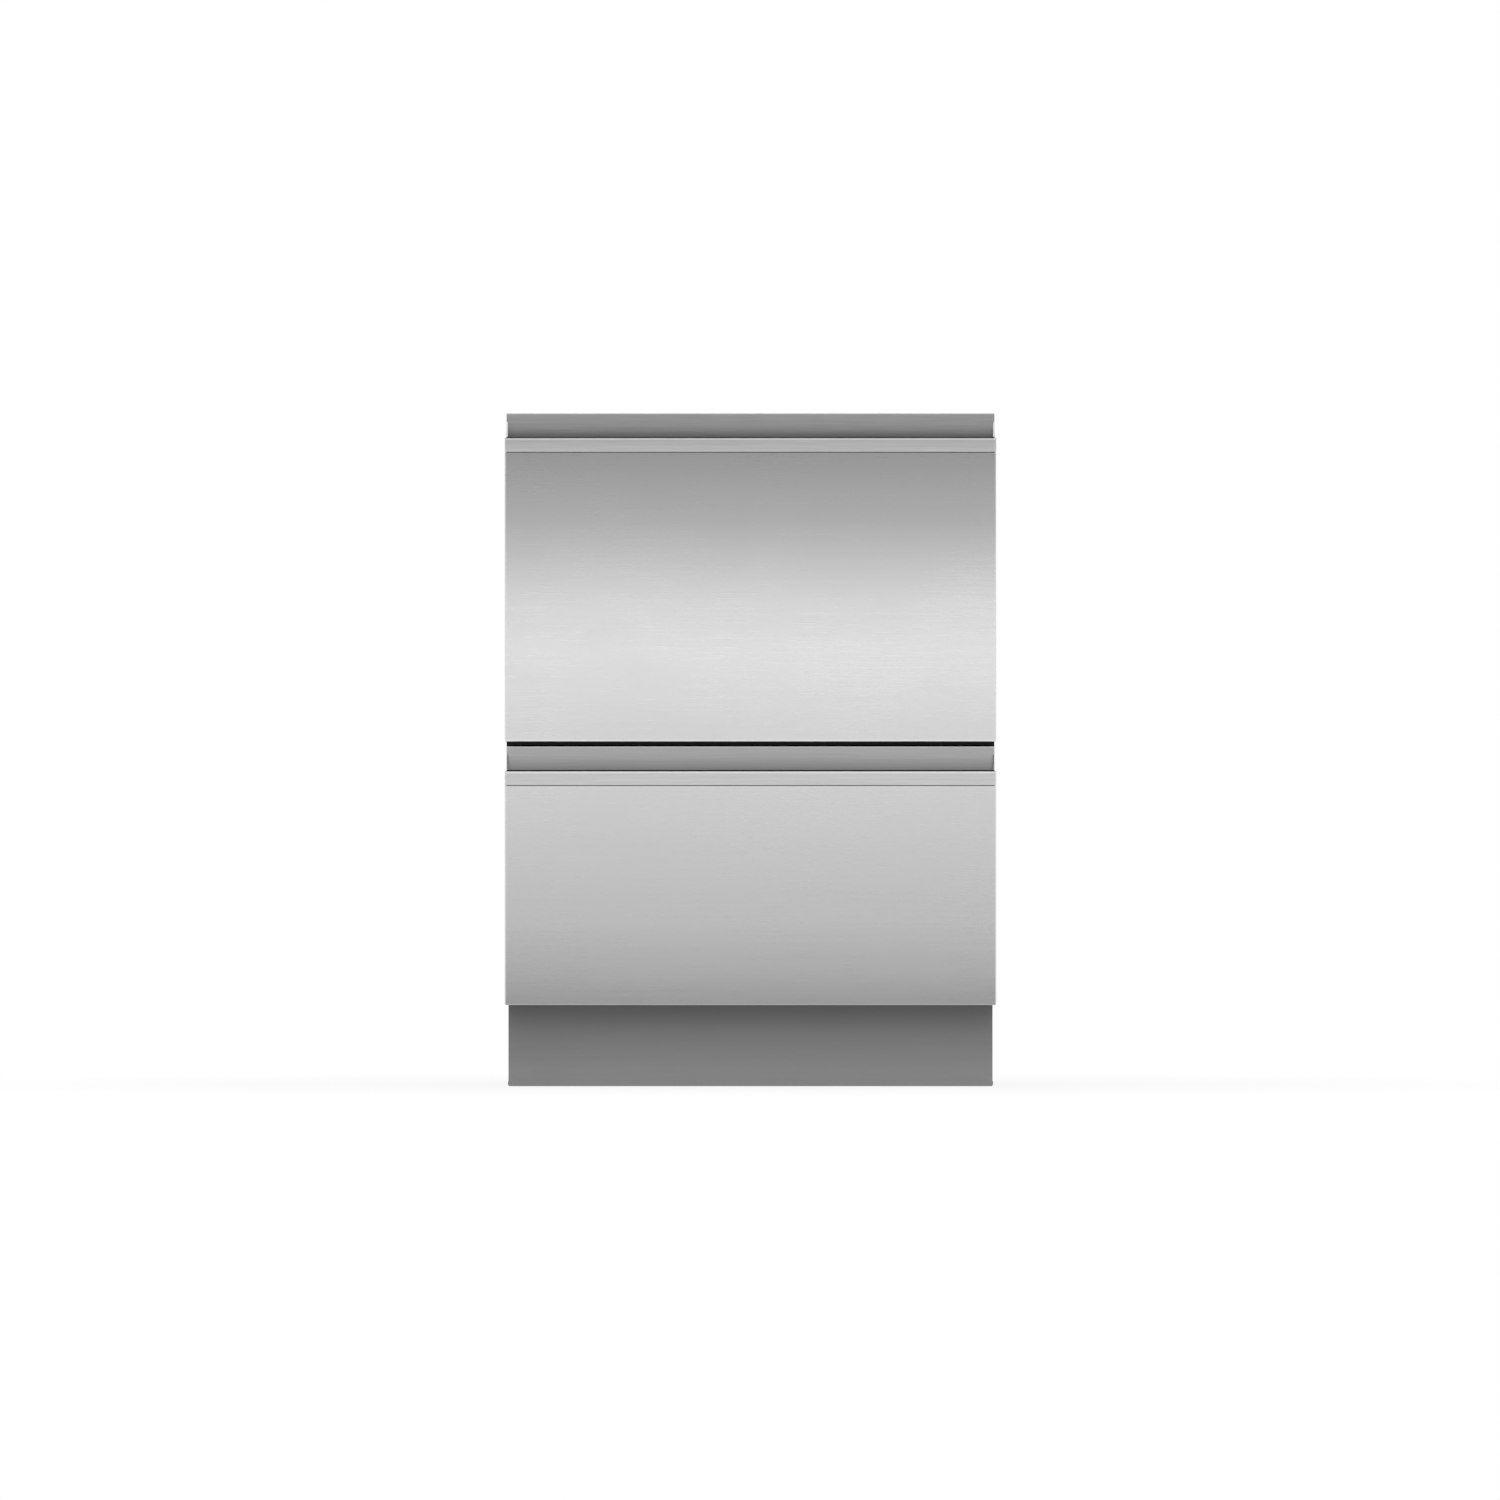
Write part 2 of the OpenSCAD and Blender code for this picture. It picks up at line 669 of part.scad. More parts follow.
// The caps that close the ends of the channel, sloping from the lip to the back wall
function cap_section() = let (d = front_depth - handle_wall, f = handle_floor()) [
    [lip_t, f], [d, f], [d, -cap_drop], [lip_t, -reveal_h - lip_round]
];
module handle(dr) {
    section = [for (p = handle_section()) [behind(p[0]), top_z(dr) + p[1]]];
    cap = [for (p = cap_section()) [behind(p[0]), top_z(dr) + p[1]]];
    foot_z = top_z(dr) + handle_floor() - handle_wall;
    color("silver") difference() {
        along_x([-front_w / 2, front_w / 2]) polygon(section);
        both_sides()
            block([reveal_x, front_w / 2 + over], [behind(lip_t), behind(front_depth) + over],
                  [foot_z - over, top_z(dr) + over]);
        both_sides()
            block([front_w / 2 - skin_t - fit, front_w / 2 + over],
                  [behind(-over), behind(front_depth) + over],
                  [foot_z - over, top_z(dr) - reveal_h - lip_h]);
    }
    color("silver") both_sides()
        along_x([reveal_x - cap_t, reveal_x]) polygon(cap);
}

// Moulded tray that stiffens the skin, with two ribs that join it to the tub
rib_t = 4;
rib_h = 78;
rib_rise = 12;
rib_corner_gap = 22;
rib_x = tub_x - tub_corner - rib_corner_gap;
module front_carrier(dr) {
    half = front_w / 2 - skin_t - fit;
    z = [front_z(dr) + skin_t + fit, top_z(dr) + handle_floor() - handle_wall - fit];
    y = [behind(skin_t + fit), behind(front_depth)];
    color("darkgray") {
        difference() {
            block([-half, half], y, z);
            block([-half + carrier_wall, half - carrier_wall],
                  [y[0] - over, y[1] - carrier_wall], [z[0] + carrier_wall, z[1] - carrier_wall]);
        }
        both_sides()
            block([rib_x - rib_t / 2, rib_x + rib_t / 2], [y[1] - over, tub_y[0]],
                  [tub_z(dr) + rib_rise, tub_z(dr) + rib_rise + rib_h]);
    }
}

// Controls: a housing along the drawer's top edge, seen when the drawer is open
button_w = 18;
button_d = 10;
button_travel = 1.2;
button_proud = 0.8;
button_cap = 5;
button_stem_r = 2;
button_end_gap = 40;
button_x = [-control_x + button_end_gap, control_x - button_end_gap];
button_y = (control_y[0] + control_y[1]) / 2;
board_drop = 10.4;
board_t = 1.6;
control_top_drop = 2;
control_h = 42;
control_wall = 2.5;
function control_z(dr) = [top_z(dr) - control_top_drop - control_h, top_z(dr) - control_top_drop];
module control_panel(dr) {
    wall = control_wall;
    z = control_z(dr);
    color("dimgray") difference() {
        block([-control_x, control_x], control_y, z);
        block([-control_x + wall, control_x - wall],
              [control_y[0] + wall, control_y[1] - wall], [z[0] + wall, z[1] - wall]);
        for (x = button_x)
            block([x - button_w / 2 - fit, x + button_w / 2 + fit],
                  [button_y - button_d / 2 - fit, button_y + button_d / 2 + fit],
                  [z[1] - wall - over, z[1] + over]);
    }
    // Circuit board, under the buttons
    color("dimgray")
        block([-control_x + wall, control_x - wall],
              [control_y[0] + wall, control_y[1] - wall],
              [z[1] - board_drop - board_t, z[1] - board_drop]);
}
module button(dr, x) {
    top = control_z(dr)[1];
    color("silver") {
        block([x - button_w / 2, x + button_w / 2],
              [button_y - button_d / 2, button_y + button_d / 2],
              [top - button_cap, top + button_proud]);
        post(x, button_y, [top - board_drop + button_travel + fit, top - button_cap + over],
             button_stem_r);
    }
}

// ---------------------------------------------------------------- tub and wash system

dispenser_w = 170;
dispenser_h = 60;
dispenser_drop = 35;
function dispenser_z(dr) = [rim_z(dr) - dispenser_drop - dispenser_h, rim_z(dr) - dispenser_drop];
rim_t = 4;
land_half = 8;
land_end_gap = 50;
tab_t = 4;
tab_half = 16;
tab_rear = 11;

module tub_outline(inset) {
    translate([0, tub_mid_y])
        polygon(rounded(tub_w - 2 * inset, tub_depth - 2 * inset, tub_corner - inset));
}
module tub(dr) {
    z = tub_z(dr);
    color("gainsboro") difference() {
        union() {
            raised([z, rim_z(dr)]) tub_outline(0);
            raised([rim_z(dr) - rim_t, rim_z(dr)]) rim_outline(0);
            post(0, tub_mid_y, [z - sump_depth, z + over], sump_r + tub_wall);
            // Lands for the inner runners
            both_sides()
                block([tub_x - over, inner_web_x],
                      [tub_y[0] + land_end_gap, tub_y[1] - land_end_gap],
                      [rail_z(dr) - land_half, rail_z(dr) + land_half]);
            // Tab for the hose link
            block([link_x - tab_half, link_x + tab_half],
                  [tub_y[1] - tub_corner / 2, link_y + tab_rear],
                  [tab_z(dr), tab_z(dr) + tab_t]);
        }
        raised([z + tub_wall, rim_z(dr) + over]) tub_outline(tub_wall);
        post(0, tub_mid_y, [z - sump_depth + tub_wall, z + tub_wall + over], sump_r);
        post(0, tub_mid_y, [z - sump_depth - over, z], shaft_r + fit);
        // Slot that lets the link's pin lead the drawer a little at mid travel
        block([link_x - pivot_r - fit, link_x + pivot_r + fit],
              [link_y - link_lead - pivot_r, link_y],
              [tab_z(dr) - over, tab_z(dr) + tab_t + over]);
        post(link_x, link_y, [tab_z(dr) - over, tab_z(dr) + tab_t + over], pivot_r + fit);
        // Window for the dispenser
        block([-dispenser_w / 2 - fit, dispenser_w / 2 + fit],
              [tub_y[0] - over, tub_y[0] + tub_wall + over],
              [dispenser_z(dr)[0] - fit, dispenser_z(dr)[1] + fit]);
    }
}

impeller_r = 34;
impeller_h = 10;
impeller_gap = 1.5;
module wash_motor(dr) {
    z = motor_z(dr);
    top = z + motor_h;
    flange_lap = 8;
    flange_t = 6;
    plug_w = 36;
    plug_h = 18;
    plug_reach = 22;
    color("darkslategray") {
        post(0, tub_mid_y, [z, top], motor_r);
        post(0, tub_mid_y, [top - flange_t, top], motor_r + flange_lap);
        post(0, tub_mid_y, [top - over, top + tub_wall + impeller_gap + impeller_h], shaft_r);
        block([motor_r - flange_t, motor_r + plug_reach],
              [tub_mid_y - plug_w / 2, tub_mid_y + plug_w / 2],
              [z + flange_t, z + flange_t + plug_h]);
    }
}

// Pump impeller on the motor's shaft, in the sump
module impeller(dr) {
    z = tub_z(dr) - sump_depth + tub_wall + impeller_gap;
    blades = 6;
    disc_t = 2;
    hub_wall = 4;
    blade_t = 2;
    blade_h = 7;
    color("white") translate([0, tub_mid_y, z]) difference() {
        union() {
            cylinder(r = impeller_r, h = disc_t);
            cylinder(r = shaft_r + hub_wall, h = impeller_h);
            for (i = [0 : blades - 1]) rotate(i * 360 / blades)
                block([shaft_r + hub_wall / 2, impeller_r - hub_wall / 2],
                      [-blade_t / 2, blade_t / 2], [disc_t / 2, disc_t / 2 + blade_h]);
        }
        translate([0, 0, -over]) cylinder(r = shaft_r + running, h = impeller_h + 2 * over);
    }
}

// Filter plate over the sump, with the pump cover and the spindle for the spray arm
plate_t = 2.5;
plate_lap = 5;
spray_rise = 17;
spindle_proud = 3;
pump_cover_r = 24;
filter_hole_r = 2.6;
filter_hole_pitch = 12.5;
filter_ring_pitch = 12;
filter_ring_gap = 16;
filter_edge_gap = 6;
filter_rings = [pump_cover_r + filter_ring_gap : filter_ring_pitch : sump_r - filter_edge_gap];
drain_filter_r = 28;
drain_filter_x = -62;
drain_filter_y = 30;
function plate_z(dr) = tub_z(dr) + tub_wall + fit;
function spray_z(dr) = plate_z(dr) + spray_rise;
module filter_plate(dr) {
    z = plate_z(dr);
    color("lightslategray") translate([0, tub_mid_y, 0]) difference() {
        union() {
            post(0, 0, [z, z + plate_t], sump_r + plate_lap);
            post(0, 0, [z, spray_z(dr) - fit], pump_cover_r);
            post(0, 0, [z, spray_z(dr) + spray_t + spindle_proud], spindle_r);
        }
        post(drain_filter_x, drain_filter_y, [z - over, z + plate_t + over],
             drain_filter_r + fit);
        for (r = filter_rings) {
            holes = floor(2 * PI * r / filter_hole_pitch);
            for (i = [0 : holes - 1]) {
                p = r * [cos(360 * i / holes), sin(360 * i / holes)];
                if (norm(p - [drain_filter_x, drain_filter_y]) > drain_filter_r + 2 * filter_hole_r)
                    translate([p[0], p[1], z - over])
                        cylinder(r = filter_hole_r, h = plate_t + 2 * over, $fn = 6);
            }
        }
    }
}

// Lift-out filter: a rim on the plate, a mesh cup below it and a bar to lift it by
module drain_filter(dr) {
    z = plate_z(dr) + plate_t;
    cup_depth = 20;
    wall = 2;
    rim_lap = 4;
    rim_h = 2.2;
    bar_t = 4;
    bar_rise = 9;
    color("slategray") translate([drain_filter_x, tub_mid_y + drain_filter_y, 0]) {
        difference() {
            union() {
                post(0, 0, [z - cup_depth, z + fit + rim_h], drain_filter_r);
                post(0, 0, [z + fit, z + fit + rim_h], drain_filter_r + rim_lap);
            }
            post(0, 0, [z - cup_depth + wall, z + fit + rim_h + over], drain_filter_r - wall);
        }
        block([-drain_filter_r + wall / 2, drain_filter_r - wall / 2], [-bar_t / 2, bar_t / 2],
              [z - over, z + bar_rise]);
    }
}

// Two-bladed spray arm, with its nozzles on top
module spray_arm(dr) {
    root_w = 40;
    tip_w = 24;
    hub_wall = 18;
    hub_r = spindle_r + hub_wall;
    hub_rise = 2;
    nozzles = 7;
    nozzle_r = 1.6;
    nozzle_gap = 18;
    nozzle_x = spread(hub_r, spray_r, nozzle_gap, nozzles);
    color("lightslategray") translate([0, tub_mid_y, spray_z(dr)]) difference() {
        union() {
            linear_extrude(spray_t - hub_rise) for (a = [0, 180]) rotate(a) polygon(concat(
                [[0, -root_w / 2]],
                arc([spray_r - tip_w / 2, 0], tip_w / 2, -80, 80, 8),
                [[0, root_w / 2]]
            ));
            cylinder(r = hub_r, h = spray_t);
        }
        translate([0, 0, -over]) cylinder(r = spindle_r + running, h = spray_t + 2 * over);
        for (a = [0, 180], i = [0 : nozzles - 1]) rotate(a)
            translate([nozzle_x[i], i % 2 == 0 ? tip_w / 4 : -tip_w / 4, spray_t / 2])
                cylinder(r = nozzle_r, h = spray_t / 2 + over);
    }
}

// Detergent dispenser in the tub's front wall, with its door and the rinse-aid cap
door_w = 92;
door_h = 44;
door_t = 3;
door_foot_gap = 1;
door_edge_gap = 7;
door_x = -dispenser_w / 2 + door_edge_gap + door_w / 2;
function door_z(dr) = dispenser_z(dr)[0] + door_edge_gap;
door_pivot_r = 1.5;
door_pivot_gap = 2.5;
knuckle_wall = 0.5;
cheek_t = 3;
cheek_r = 2.5;
dispenser_proud = 6;
dispenser_back = 7;
dispenser_lap = 5;
dispenser_lap_t = 2.7;
dispenser_face_y = tub_y[0] + tub_wall + dispenser_proud;
door_pivot_y = dispenser_face_y + door_pivot_gap;
detergent_wall = 4;
detergent_foot = 6;
detergent_head = 8;
rinse_cap_r = 16;
rinse_cap_h = 6;
rinse_cap_gap = 16;
module dispenser(dr) {
    z = dispenser_z(dr);
    x = [-dispenser_w / 2, dispenser_w / 2];
    cup_half = door_w / 2 - detergent_wall;
    pivot_half = door_w / 2 + fit + cheek_t;
    lap = dispenser_lap;
    color("gray") difference() {
        union() {
            block(x, [tub_y[0] - dispenser_back, dispenser_face_y], z);
            block([x[0] - lap, x[1] + lap],
                  [tub_y[0] + tub_wall + fit, tub_y[0] + tub_wall + fit + dispenser_lap_t],
                  [z[0] - lap, z[1] + lap]);
            // Cheeks that carry the door's pivot
            for (side = [-1, 1])
                translate([door_x + side * (pivot_half - cheek_t / 2), 0, 0])
                    block([-cheek_t / 2, cheek_t / 2],
                          [dispenser_face_y - over, door_pivot_y + cheek_r],
                          [door_z(dr) - cheek_r, door_z(dr) + cheek_r]);
            // Cap of the rinse-aid tank
            rod_y(door_x + door_w / 2 + rinse_cap_gap + rinse_cap_r,
                  [dispenser_face_y - over, dispenser_face_y + rinse_cap_h],
                  (z[0] + z[1]) / 2, rinse_cap_r);
        }
        block([door_x - cup_half, door_x + cup_half],
              [tub_y[0] - dispenser_back + detergent_wall, dispenser_face_y + over],
              [door_z(dr) + detergent_foot, z[1] - detergent_head]);
        rod_x([door_x - pivot_half - over, door_x + pivot_half + over],
              door_pivot_y, door_z(dr), door_pivot_r + running);
    }
}
module dispenser_door(dr) {
    x = [door_x - door_w / 2, door_x + door_w / 2];
    knuckle = door_pivot_r - knuckle_wall;
    color("lightgray") {
        block(x, [dispenser_face_y + fit, dispenser_face_y + fit + door_t],
              [door_z(dr) + door_foot_gap, door_z(dr) + door_h]);
        rod_x([x[0] - cheek_t, x[1] + cheek_t], door_pivot_y, door_z(dr), door_pivot_r);
        block(x, [door_pivot_y - knuckle, door_pivot_y + knuckle],
              [door_z(dr) - knuckle, door_z(dr) + door_foot_gap + knuckle_wall]);
    }
}

// ---------------------------------------------------------------- racks

rack_gap = (tub_corner - tub_wall) * (1 - sqrt(0.5)) + rack_clearance;
rinse_cap_clearance = 2;
rack_front_gap = max(rack_gap, dispenser_proud + rinse_cap_h + rinse_cap_clearance);
rack_x = tub_x - tub_wall - rack_gap;
rack_y = [tub_y[0] + tub_wall + rack_front_gap, tub_y[1] - tub_wall - rack_gap];
rack_spray_gap = 10;
rack_dispenser_gap = 9;
function rack_z(dr) = spray_z(dr) + spray_t + rack_spray_gap;
function rack_top(dr) = dispenser_z(dr)[0] - rack_dispenser_gap;
rack_nx = 13;
rack_ny = 11;
rack_foot_w = 12;
deep_wall = 100;
rack_pitch_x = (2 * rack_x - wire) / rack_nx;
rack_pitch_y = (rack_y[1] - rack_y[0] - wire) / rack_ny;
function rack_wire_x(i) = -rack_x + i * rack_pitch_x;
function rack_wire_y(j) = rack_y[0] + j * rack_pitch_y;
tine_columns = [4 : 9];
first_tine = 2;
last_tine = 9;
cup_pivot_r = 2;
cup_pivot_gap = 4;
cup_pivot_x = -rack_x + wire + cup_pivot_gap + cup_pivot_r;
cup_front_gap = 30;
cup_back_gap = 20;
cup_y = [rack_y[0] + cup_front_gap, rack_y[1] - cup_back_gap];
ear_t = 5;
ear_wall = 3;
ear_half = cup_pivot_r + ear_wall;
ear_drop = 1;
function cup_z(dr) = rack_top(dr) - ear_drop - ear_half;
shelf_nx = 3;
shelf_ny = 10;

// A rack is five flat mats of wire, six strips of plate tines that lie on the floor mat,
// four feet and two ears. They clip together and lie apart by the fit.
module rack(dr) {
    z = rack_z(dr);
    wall_z = z + wire + fit;
    wall_h = rack_top(dr) - wall_z;
    rows = wall_h > deep_wall ? 3 : 2;
    depth = rack_y[1] - rack_y[0];
    seam = wire + fit;
    color("darkgray") {
        raised([z, z + wire]) translate([-rack_x, rack_y[0]])
            grid(2 * rack_x, depth, rack_nx, rack_ny);
        for (y = [rack_y[0], rack_y[1] - wire])
            along_y([y, y + wire]) translate([-rack_x, wall_z])
                grid(2 * rack_x, wall_h, rack_nx, rows);
        for (x = [-rack_x, rack_x - wire])
            along_x([x, x + wire]) translate([rack_y[0], wall_z]) intersection() {
                grid(depth, wall_h, rack_ny, rows);
                translate([seam, 0]) square([depth - 2 * seam, wall_h]);
            }
        for (i = tine_columns) translate([rack_wire_x(i), 0, wall_z]) {
            block([0, wire], [rack_wire_y(first_tine), rack_wire_y(last_tine) + wire],
                  [0, wire]);
            for (j = [first_tine : last_tine])
                block([0, wire], [rack_wire_y(j), rack_wire_y(j) + wire], [0, tine_h - fit]);
        }
    }
    // Feet on the tub's floor, outside the spray arm's sweep
    foot_half = rack_foot_w / 2;
    color("dimgray") for (i = [1, rack_nx - 1], j = [1, rack_ny - 1])
        translate([rack_wire_x(i) + wire / 2, rack_wire_y(j) + wire / 2, 0])
            block([-foot_half, foot_half], [-foot_half, foot_half],
                  [tub_z(dr) + tub_wall + fit, z - fit]);
    // Ears that carry the cup shelf's pivot
    color("dimgray") difference() {
        for (y = [cup_y[0] - fit - ear_t, cup_y[1] + fit])
            block([-rack_x + seam, cup_pivot_x + ear_half], [y, y + ear_t],
                  [cup_z(dr) - ear_half, cup_z(dr) + ear_half]);
        rod_y(cup_pivot_x, [cup_y[0] - fit - ear_t - over, cup_y[1] + fit + ear_t + over],
              cup_z(dr), cup_pivot_r + running);
    }
}
// Cup shelf, lying level. It folds up against the rack's side.
module cup_rack(dr) {
    shelf_x = [cup_pivot_x - wire / 2, cup_pivot_x + cup_shelf_w];
    color("darkgray") {
        rod_y(cup_pivot_x, [cup_y[0] - fit - ear_t, cup_y[1] + fit + ear_t], cup_z(dr),
              cup_pivot_r);
        raised([cup_z(dr) - wire / 2, cup_z(dr) + wire / 2])
            translate([shelf_x[0], cup_y[0]])
                grid(shelf_x[1] - shelf_x[0], cup_y[1] - cup_y[0], shelf_nx, shelf_ny);
    }
}

// Cutlery basket, standing on the rack's floor at the front right
cutlery_w = 84;
cutlery_len = 220;
cutlery_side_gap = 6;
cutlery_front_gap = 12;
cutlery_x1 = rack_x - wire - cutlery_side_gap;
cutlery_y0 = rack_y[0] + wire + cutlery_front_gap;
cutlery_x = [cutlery_x1 - cutlery_w, cutlery_x1];
cutlery_y = [cutlery_y0, cutlery_y0 + cutlery_len];
module cutlery_basket(dr) {
    z = [rack_z(dr) + wire + fit, rack_z(dr) + wire + fit + cutlery_h];
    t = cutlery_wall;
    slots = 9;
    slot_w = 6;
    slot_foot = 14;
    slot_head = 16;
    floor_slot_gap = 10;
    pitch = (cutlery_y[1] - cutlery_y[0]) / slots;
    color("slategray") difference() {
        block(cutlery_x, cutlery_y, z);
        block([cutlery_x[0] + t, cutlery_x[1] - t], [cutlery_y[0] + t, cutlery_y[1] - t],
              [z[0] + t, z[1] + over]);
        for (i = [0 : slots - 1]) {
            y = cutlery_y[0] + pitch * (i + 0.5);
            block([cutlery_x[0] - over, cutlery_x[1] + over],
                  [y - slot_w / 2, y + slot_w / 2], [z[0] + slot_foot, z[1] - slot_head]);
            block([cutlery_x[0] + floor_slot_gap, cutlery_x[1] - floor_slot_gap],
                  [y - slot_w / 2, y + slot_w / 2], [z[0] - over, z[0] + t + over]);
        }
    }
}

// ---------------------------------------------------------------- hose link

// Two arms fold flat behind the tub and open like an elbow as the drawer comes out
link_back_gap = 15;
link_x = -link_len / 2;
link_y = back_y - link_back_gap - link_r;
link_lead = 12;
link_rise = 70;
link_gap = 1;
bracket_t = 3.5;
pin_root = 2;
function link_z(dr) = tub_z(dr) + link_rise;
function bracket_z(dr) = [link_z(dr) - link_gap / 2 - bracket_t, link_z(dr) - link_gap / 2];
function front_arm_z(dr) = link_z(dr) + link_h + link_gap;
function tab_z(dr) = front_arm_z(dr) + link_h + link_gap;

// A trough with round ends, from pivot to pivot, with a floor and an open top
module link_arm(z) {
    half = link_r - link_wall;
    difference() {
        union() {
            block([0, link_len], [-link_r, link_r], [z, z + link_h]);
            for (x = [0, link_len]) post(x, 0, [z, z + link_h], link_r);
        }
        block([2 * link_r, link_len - 2 * link_r], [-half, half],
              [z + link_wall, z + link_h + over]);
        post(0, 0, [z - over, z + link_h + over], pivot_r + running);
    }
}
module link_rear_arm(dr) {
    color("darkgray") translate([link_x, link_y, 0]) {
        link_arm(link_z(dr));
        post(link_len, 0, [link_z(dr) + pin_root, front_arm_z(dr) + link_h], pivot_r);
    }
}
module link_front_arm(dr) {
    color("darkgray") translate([link_x + link_len, link_y, 0]) rotate(180) {
        link_arm(front_arm_z(dr));
        post(link_len, 0, [front_arm_z(dr) + pin_root, tab_z(dr) + 2 * tab_t], pivot_r);
    }
}

// ---------------------------------------------------------------- the parts, one by one

side_panel(-1);  // side_panel_left
side_panel(1);  // side_panel_right
back_panel();
top_panel();
base_tray();
mid_rail();
toe_kick();
feet(foot_y[0]);  // front_feet
feet(foot_y[1]);  // rear_feet
outer_rails();
lid_actuators();
edge_seals();
chassis_screws();
service_ports();

middle_rails(0);  // upper_middle_rails
inner_rails(0);  // upper_inner_rails
lid(0);  // upper_lid
lid_seal(0);  // upper_lid_seal
front_panel(0);  // upper_front_panel
handle(0);  // upper_handle
front_carrier(0);  // upper_front_carrier
control_panel(0);  // upper_control_panel
button(0, button_x[0]);  // upper_power_button
button(0, button_x[1]);  // upper_start_button
tub(0);  // upper_tub
filter_plate(0);  // upper_filter_plate
drain_filter(0);  // upper_drain_filter
spray_arm(0);  // upper_spray_arm
impeller(0);  // upper_impeller
wash_motor(0);  // upper_wash_motor
rack(0);  // upper_rack
cup_rack(0);  // upper_cup_rack
cutlery_basket(0);  // upper_cutlery_basket
dispenser(0);  // upper_dispenser
dispenser_door(0);  // upper_dispenser_door
link_rear_arm(0);  // upper_link_rear_arm
link_front_arm(0);  // upper_link_front_arm

middle_rails(1);  // lower_middle_rails
inner_rails(1);  // lower_inner_rails
lid(1);  // lower_lid
lid_seal(1);  // lower_lid_seal
front_panel(1);  // lower_front_panel
handle(1);  // lower_handle
front_carrier(1);  // lower_front_carrier
control_panel(1);  // lower_control_panel
button(1, button_x[0]);  // lower_power_button
button(1, button_x[1]);  // lower_start_button
tub(1);  // lower_tub
filter_plate(1);  // lower_filter_plate
drain_filter(1);  // lower_drain_filter
spray_arm(1);  // lower_spray_arm
impeller(1);  // lower_impeller
wash_motor(1);  // lower_wash_motor
rack(1);  // lower_rack
cup_rack(1);  // lower_cup_rack
cutlery_basket(1);  // lower_cutlery_basket
dispenser(1);  // lower_dispenser
dispenser_door(1);  // lower_dispenser_door
link_rear_arm(1);  // lower_link_rear_arm
link_front_arm(1);  // lower_link_front_arm
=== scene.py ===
# %% [markdown]
# # A double dishwasher drawer, dressed for its portrait
# The CAD model already has every working part in its place. This lesson gives the parts
# their looks: folded steel, welded wire, moulded tubs, rubber and runners. Pieces whose CAD
# shape is right keep it and get soft edges and a finish. Pieces that need more than CAD
# gives, such as round wire or a crowned spray arm, are made here and stand for their node.

import json
import math

import bmesh
import bpy
from mathutils import Matrix, Vector


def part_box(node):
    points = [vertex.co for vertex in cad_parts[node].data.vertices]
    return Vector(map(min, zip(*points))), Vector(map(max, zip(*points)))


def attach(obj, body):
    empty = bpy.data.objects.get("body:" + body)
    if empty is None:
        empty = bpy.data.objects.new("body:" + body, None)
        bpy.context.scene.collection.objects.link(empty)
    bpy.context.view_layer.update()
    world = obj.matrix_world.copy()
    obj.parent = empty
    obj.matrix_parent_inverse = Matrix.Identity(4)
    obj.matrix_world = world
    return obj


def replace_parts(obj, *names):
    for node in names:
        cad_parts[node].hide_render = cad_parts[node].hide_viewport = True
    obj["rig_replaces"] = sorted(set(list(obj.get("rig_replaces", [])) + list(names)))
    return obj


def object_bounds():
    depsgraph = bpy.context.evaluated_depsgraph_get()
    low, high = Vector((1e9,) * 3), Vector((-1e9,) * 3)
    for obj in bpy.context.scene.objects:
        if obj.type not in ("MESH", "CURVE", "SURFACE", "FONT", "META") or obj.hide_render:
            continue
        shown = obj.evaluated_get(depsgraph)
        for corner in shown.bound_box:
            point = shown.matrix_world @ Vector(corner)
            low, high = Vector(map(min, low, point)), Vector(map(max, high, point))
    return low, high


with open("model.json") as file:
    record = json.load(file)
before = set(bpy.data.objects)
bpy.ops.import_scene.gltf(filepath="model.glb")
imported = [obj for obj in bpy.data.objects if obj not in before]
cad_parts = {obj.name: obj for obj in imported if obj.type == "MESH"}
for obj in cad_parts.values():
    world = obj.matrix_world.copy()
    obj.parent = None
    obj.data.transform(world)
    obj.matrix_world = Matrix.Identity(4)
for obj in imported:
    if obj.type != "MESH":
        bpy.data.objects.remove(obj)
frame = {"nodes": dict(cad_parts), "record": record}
cad_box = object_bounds()
MM = 0.001
nodes = frame["nodes"]
body_of = {n: b for b, names in frame["record"]["behaviour"]["bodies"].items() for n in names}
slot_of = {n: node.data.materials[0].name for n, node in nodes.items()}


def cad(node):
    """The lowest and highest corner of a CAD node, in millimetres."""
    low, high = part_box(node)
    return low / MM, high / MM


# %% [markdown]
# ## Camera
# The picture was taken square on from far away, so the sides of the appliance don't show.
# A long lens from thirty metres does the same. The picture is 1500 pixels wide and the
# appliance shows at 1.2166 mm to a pixel, which gives the width of the view. The camera
# looks along the middle of the picture, which is 337 pixels above the floor.

# %% The camera
PIXEL = 1.2166 * MM
FRAME_PIXELS = 1500
EYE_RIGHT_PIXELS, EYE_UP_PIXELS = -0.5, 337
LENS = 600
SENSOR = 36
FARTHEST = 100


def into_scene(thing):
    """Links a new object to the scene, so that it shows."""
    bpy.context.scene.collection.objects.link(thing)
    return thing


front_y = cad_box[0].y
view_width = PIXEL * FRAME_PIXELS
camera = into_scene(bpy.data.objects.new("camera", bpy.data.cameras.new("camera")))
camera.data.lens = LENS
camera.data.sensor_width = SENSOR
camera.data.clip_end = FARTHEST
camera_y = front_y - view_width * LENS / SENSOR
camera.location = (EYE_RIGHT_PIXELS * PIXEL, camera_y, EYE_UP_PIXELS * PIXEL)
camera.rotation_euler = (math.pi / 2, 0, 0)
bpy.context.scene.camera = camera
bpy.context.scene.view_settings.view_transform = "Standard"
print("camera at", [round(v, 3) for v in camera.location], "sees", round(view_width, 3), "m across")

